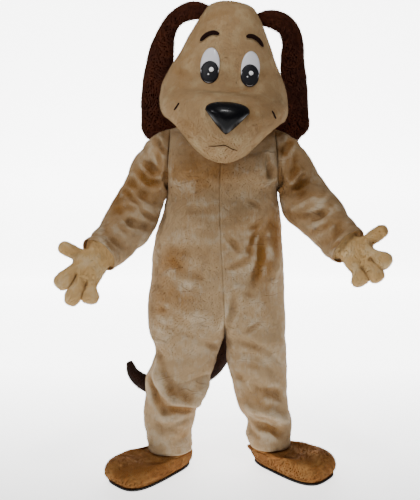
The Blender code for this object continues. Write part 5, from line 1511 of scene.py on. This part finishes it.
# Polyester plush brushed up all over: paler and warmer than the suit's
glove_plush = plush("plush_glove", "#D0A972", "#B08040", "#E6C999", "#5E3C1A", 167.0)
for word, side, hand in (("right", -1, RIGHT_HAND), ("left", 1, LEFT_HAND)):
    name = "glove_" + word
    cuff = inner_walls["sleeve_" + word][TUCKED_ROW]
    mesh = glove_mesh(name, side, hand, cuff + unit(cuff.mean(0) - cuff) * TUCKED_GAP)
    faces = [tuple(face.vertices) for face in mesh.polygons]
    bm = bmesh.new()
    bm.from_mesh(mesh)
    rim = [[v.index for v in e.verts] for e in bm.edges if e.is_boundary]
    bmesh.ops.recalc_face_normals(bm, faces=bm.faces)
    bm.normal_update()
    points, normals = (np.array([getattr(v, field) for v in bm.verts]) for field in ("co", "normal"))
    bm.free()
    normals = outward(normals, points, points.mean(0))
    points = rippled(points[None], normals[None], GLOVE_RIPPLES)[0]
    between = clefts(points, normals, hand, side)
    points = points - normals * CLEFT_DEPTH * between[:, None]
    skin = points - normals * PILE
    count = len(skin)
    both = np.concatenate([skin, skin - normals * GLOVE_WALL])
    walls = faces + [tuple(n + count for n in face[::-1]) for face in faces]
    walls += [(a, b, b + count, a + count) for a, b in rim]
    # Painted shade where the wrist goes into the cuff and in the clefts between the digits; the inner wall is
    # fully shaded
    shade_near_cuff = np.clip((points[:, 2] - hand["wrist"][2] + 0.012) / 0.02, 0, 1)
    crease = shade_near_cuff * 0.4 + 1.6 * between
    piece = add_piece(name, both, walls, glove_plush, "glove_plush", [name + "_palm", name + "_fingers"],
                      nap=np.zeros(2 * count), crease=np.append(crease, np.ones(count)),
                      tip=np.zeros(2 * count))
    triangles = np.array([(f[0], f[n], f[n + 1]) for f in faces for n in range(1, len(f) - 1)])
    hairs = pile(name + "_pile", skin, triangles, normals, np.zeros(count), crease, 20000, 0.0055,
                 glove_plush)

# ---- Feet ----
# Wide padded plush shoe covers, each on a thin sole of black rubber. Their collars reach up
# inside the legs.

SOLE_THICKNESS = 0.008

# Feet: toe height, heel height, toe reach, heel reach, toe half width, heel's share of it
FOOT = (
    (SOLE_THICKNESS + SEAT_GAP, SOLE_THICKNESS + SEAT_GAP, 0.246, 0.090, 0.118, 0.40),
    (0.036, 0.032, 0.262, 0.098, 0.130, 0.46),
    (0.074, 0.056, 0.258, 0.098, 0.130, 0.54),
    (0.104, 0.074, 0.226, 0.094, 0.120, 0.62),
    (0.110, 0.084, 0.170, 0.088, 0.106, 0.70),
    (0.082, 0.082, 0.118, 0.080, 0.090, 0.82),
)
# Feet: side, ankle x, ankle y, toes turned out by, shares of toe reach and height,
# tread's shift outward
FOOT_PLACES = (
    (-1, -0.2155, -0.045, math.radians(47), 1.09, 0.82, 0.0),
    (1, 0.1980, -0.045, math.radians(50), 1.01, 1.0, 0.040),
)
# Collar rings inside the leg: row of the leg, inset from its inside, drop below its hem
COLLAR = ((-1, 0.006, 0.006), (-4, 0.003, 0.0), (-9, 0.010, 0.0))


def ring_hit(polygon, centre, heading):
    """Where a level line from the centre meets the polygon, seen from above."""
    best = None
    for a, b in zip(polygon, np.roll(polygon, -1, axis=0)):
        edge, start = (b - a)[:2], (a - centre)[:2]
        turn = heading[0] * edge[1] - heading[1] * edge[0]
        if abs(turn) < 1e-12:
            continue
        far = (start[0] * edge[1] - start[1] * edge[0]) / turn
        share = (start[0] * heading[1] - start[1] * heading[0]) / turn
        if far > 0 and -1e-9 <= share <= 1 + 1e-9:
            best = far if best is None else min(best, far)
    return best


FOOT_COLUMNS = 120
FOOT_ROWS = 60
SOLE_MARGIN = 0.004
FOOT_WALL = 0.004
FOOT_RIPPLES = (((10, 10, 14), 0.005), ((26, 26, 40), 0.0015))
INSTEP = (20, 46, 30)  # softened between these rows, in so many rounds
SOLE_ROWS = 3  # left without ripples
COLLAR_ROWS = 16
# Sole's edge from the bottom up: share of the margin, height
SOLE = ((0.4, 0.0), (0.85, 0.0012), (1.0, 0.003), (1.0, 0.0068), (0.8, SOLE_THICKNESS))


def foot_rings(side, ankle_x, ankle_y, turn, reach, tall, shift, inner_rings):
    """Rings of a foot's upper from the sole to the collar inside the leg."""
    toe = np.array((side * math.sin(turn), -math.cos(turn), 0))
    aside = np.array((math.cos(turn), side * math.sin(turn), 0))
    centre = np.array((ankle_x, ankle_y, 0))
    c, s = np.cos(full_turn(FOOT_COLUMNS)), np.sin(full_turn(FOOT_COLUMNS))
    tread = SOLE_THICKNESS + SEAT_GAP
    rings = []
    for level, (toe_z, heel_z, toe_reach, heel_reach, half, heel_width) in enumerate(FOOT):
        toe_reach = toe_reach * reach
        along = np.where(c > 0, toe_reach * np.abs(c) ** 0.5, -heel_reach * np.abs(c) ** 0.9)
        share = (along + heel_reach) / (toe_reach + heel_reach)
        across = half * np.sign(s) * np.abs(s) ** 0.65 * (heel_width + (1 - heel_width) * share)
        across = across + side * shift * (1 - level / (len(FOOT) - 1))
        z = heel_z + (toe_z - heel_z) * (0.5 + 0.5 * np.clip(along / toe_reach, -1, 1))
        ring = centre + along[:, None] * toe + across[:, None] * aside
        ring[:, 2] = tread + (z - tread) * tall
        rings.append(ring)
    for inner, inset, drop in inner_rings:
        ring = []
        for k in range(FOOT_COLUMNS):
            heading = toe * c[k] + aside * s[k]
            far = ring_hit(inner, centre, heading) - inset
            ring.append(centre + heading * far + np.array((0, 0, inner[:, 2].mean() - drop)))
        rings.append(np.array(ring))
    flat = np.array(rings).reshape(len(rings), -1)
    places = np.linspace(0, len(rings) - 1, FOOT_ROWS)
    return through(numbered(flat), places).reshape(FOOT_ROWS, FOOT_COLUMNS, 3)


# Polyester plush with a longer pile: foxy brown and soft-edged
foot_plush = plush("plush_foot", "#8F5E2E", "#7A4820", "#B07F48", "#2E1809", 167.0)
# Rubber, moulded as a thin tread: a dull black line under the foot
sole_rubber = plain("black_rubber", "#100F0F", 0.75)
for side, *places in FOOT_PLACES:
    word = "left" if side > 0 else "right"
    front, back = inner_walls["front_" + word], inner_walls["back_" + word]
    inner = [(np.concatenate([front[row], back[row][::-1]]), inset, drop) for row, inset, drop in COLLAR]
    rings = softened(foot_rings(side, *places, inner), np.arange(FOOT_ROWS), *INSTEP)
    normals = shared_normals([(rings, side, True)])[0]
    normals = outward(normals, rings, rings.mean(1, keepdims=True))
    raised = rippled(rings, normals, FOOT_RIPPLES)
    for even in (slice(SOLE_ROWS), slice(-COLLAR_ROWS, None)):
        raised[even] = rings[even]
    piece, _ = plush_wall("foot_upper_" + word, raised, normals, True, foot_plush, "foot_plush",
                          ["foot_upper_" + word], np.zeros(rings.shape[:2]), 30000, rings,
                          length=0.0065, thickness=FOOT_WALL)
    edge = rings[0] * np.array((1, 1, 0))
    out = unit(edge - edge.mean(0))
    sole = np.array([edge + out * SOLE_MARGIN * wide + np.array((0, 0, high)) for wide, high in SOLE])
    add_piece("foot_sole_" + word, with_ends(sole), body_faces(*sole.shape[:2]), sole_rubber,
              "sole_rubber", ["foot_sole_" + word])

# ---- Room: floor, wall, light and camera ----
# A pale paper sweep that glows by itself, two small lamps and an even light from all round.
# The camera stands in front at chest height and looks slightly down.

SWEEP_FRONT = -9.0
SWEEP_BACK = 4.4  # where the floor starts to curve up, and the height that it reaches
SWEEP_RADIUS = 0.9
SWEEP_HALF_WIDTH = 3.2  # wider towards the front
profile = [(SWEEP_FRONT, 0.0), (SWEEP_BACK, 0.0)]
profile += [(SWEEP_BACK + SWEEP_RADIUS * math.sin(turn), SWEEP_RADIUS - SWEEP_RADIUS * math.cos(turn))
            for turn in np.linspace(0.1, math.pi / 2, 16)]
profile.append((SWEEP_BACK + SWEEP_RADIUS, SWEEP_BACK))
corners = [(x, y, z - SHOULDER_HEIGHT) for y, z in profile
           for x in (min(y / 2, -SWEEP_HALF_WIDTH), max(-y / 2, SWEEP_HALF_WIDTH))]
paper_mesh = bpy.data.meshes.new("paper_sweep")
paper_mesh.from_pydata(corners, [], grid_faces(len(profile), 2, False))
paper_mesh.shade_smooth()
# Paper that glows by itself, brighter towards the back: a painted glow, since no lamp lights it from behind.
# It keeps the backdrop white and lights the costume a little from behind and below.
white_paper = plain("white_paper", "#FFFFFF", 0.9)
paper_tree = white_paper.node_tree
paper_shader = paper_tree.nodes["Principled BSDF"]
paper_shader.inputs["Emission Color"].default_value = linear("#FFFFFF")
place = add_node(paper_tree, "ShaderNodeTexCoord").outputs["Object"]
away = add_node(paper_tree, "ShaderNodeSeparateXYZ", (("Vector", place),)).outputs["Y"]
glow = add_node(paper_tree, "ShaderNodeMapRange", (
    ("Value", away), ("From Min", -0.8), ("From Max", 1.4), ("To Min", 0.75), ("To Max", 5.6)))
paper_tree.links.new(glow.outputs["Result"], paper_shader.inputs["Emission Strength"])
paper_mesh.materials.append(white_paper)
paper_sweep = bpy.data.objects.new("paper_sweep", paper_mesh)
bpy.context.scene.collection.objects.link(paper_sweep)

world = bpy.data.worlds.new("room")
bpy.context.scene.world = world
world.use_nodes = True
background = world.node_tree.nodes["Background"]
background.inputs["Color"].default_value = linear("#FFFFFF")
background.inputs["Strength"].default_value = 0.14
# Lights, aimed at the costume's middle: place, size, watts
LIGHTS = (
    ("key", (-2.5, -2.1, 1.5), 0.30, 44.0),
    ("above", (0.2, -1.7, 2.5), 0.25, 42.0),
)
for name, place, size, power in LIGHTS:
    lamp = bpy.data.lights.new(name, "AREA")
    lamp.size = size
    lamp.energy = power
    light = bpy.data.objects.new(name, lamp)
    light.location = place
    light.rotation_euler = (Vector((0, 0, -0.4)) - Vector(place)).to_track_quat("-Z", "Y").to_euler()
    bpy.context.scene.collection.objects.link(light)

lens = bpy.data.cameras.new("camera")
lens.lens = 54
camera = bpy.data.objects.new("camera", lens)
camera.location = (-0.048, -3.0, 1.30 - SHOULDER_HEIGHT)
camera.rotation_euler = (math.radians(82.4), 0, 0)
bpy.context.scene.collection.objects.link(camera)
bpy.context.scene.camera = camera
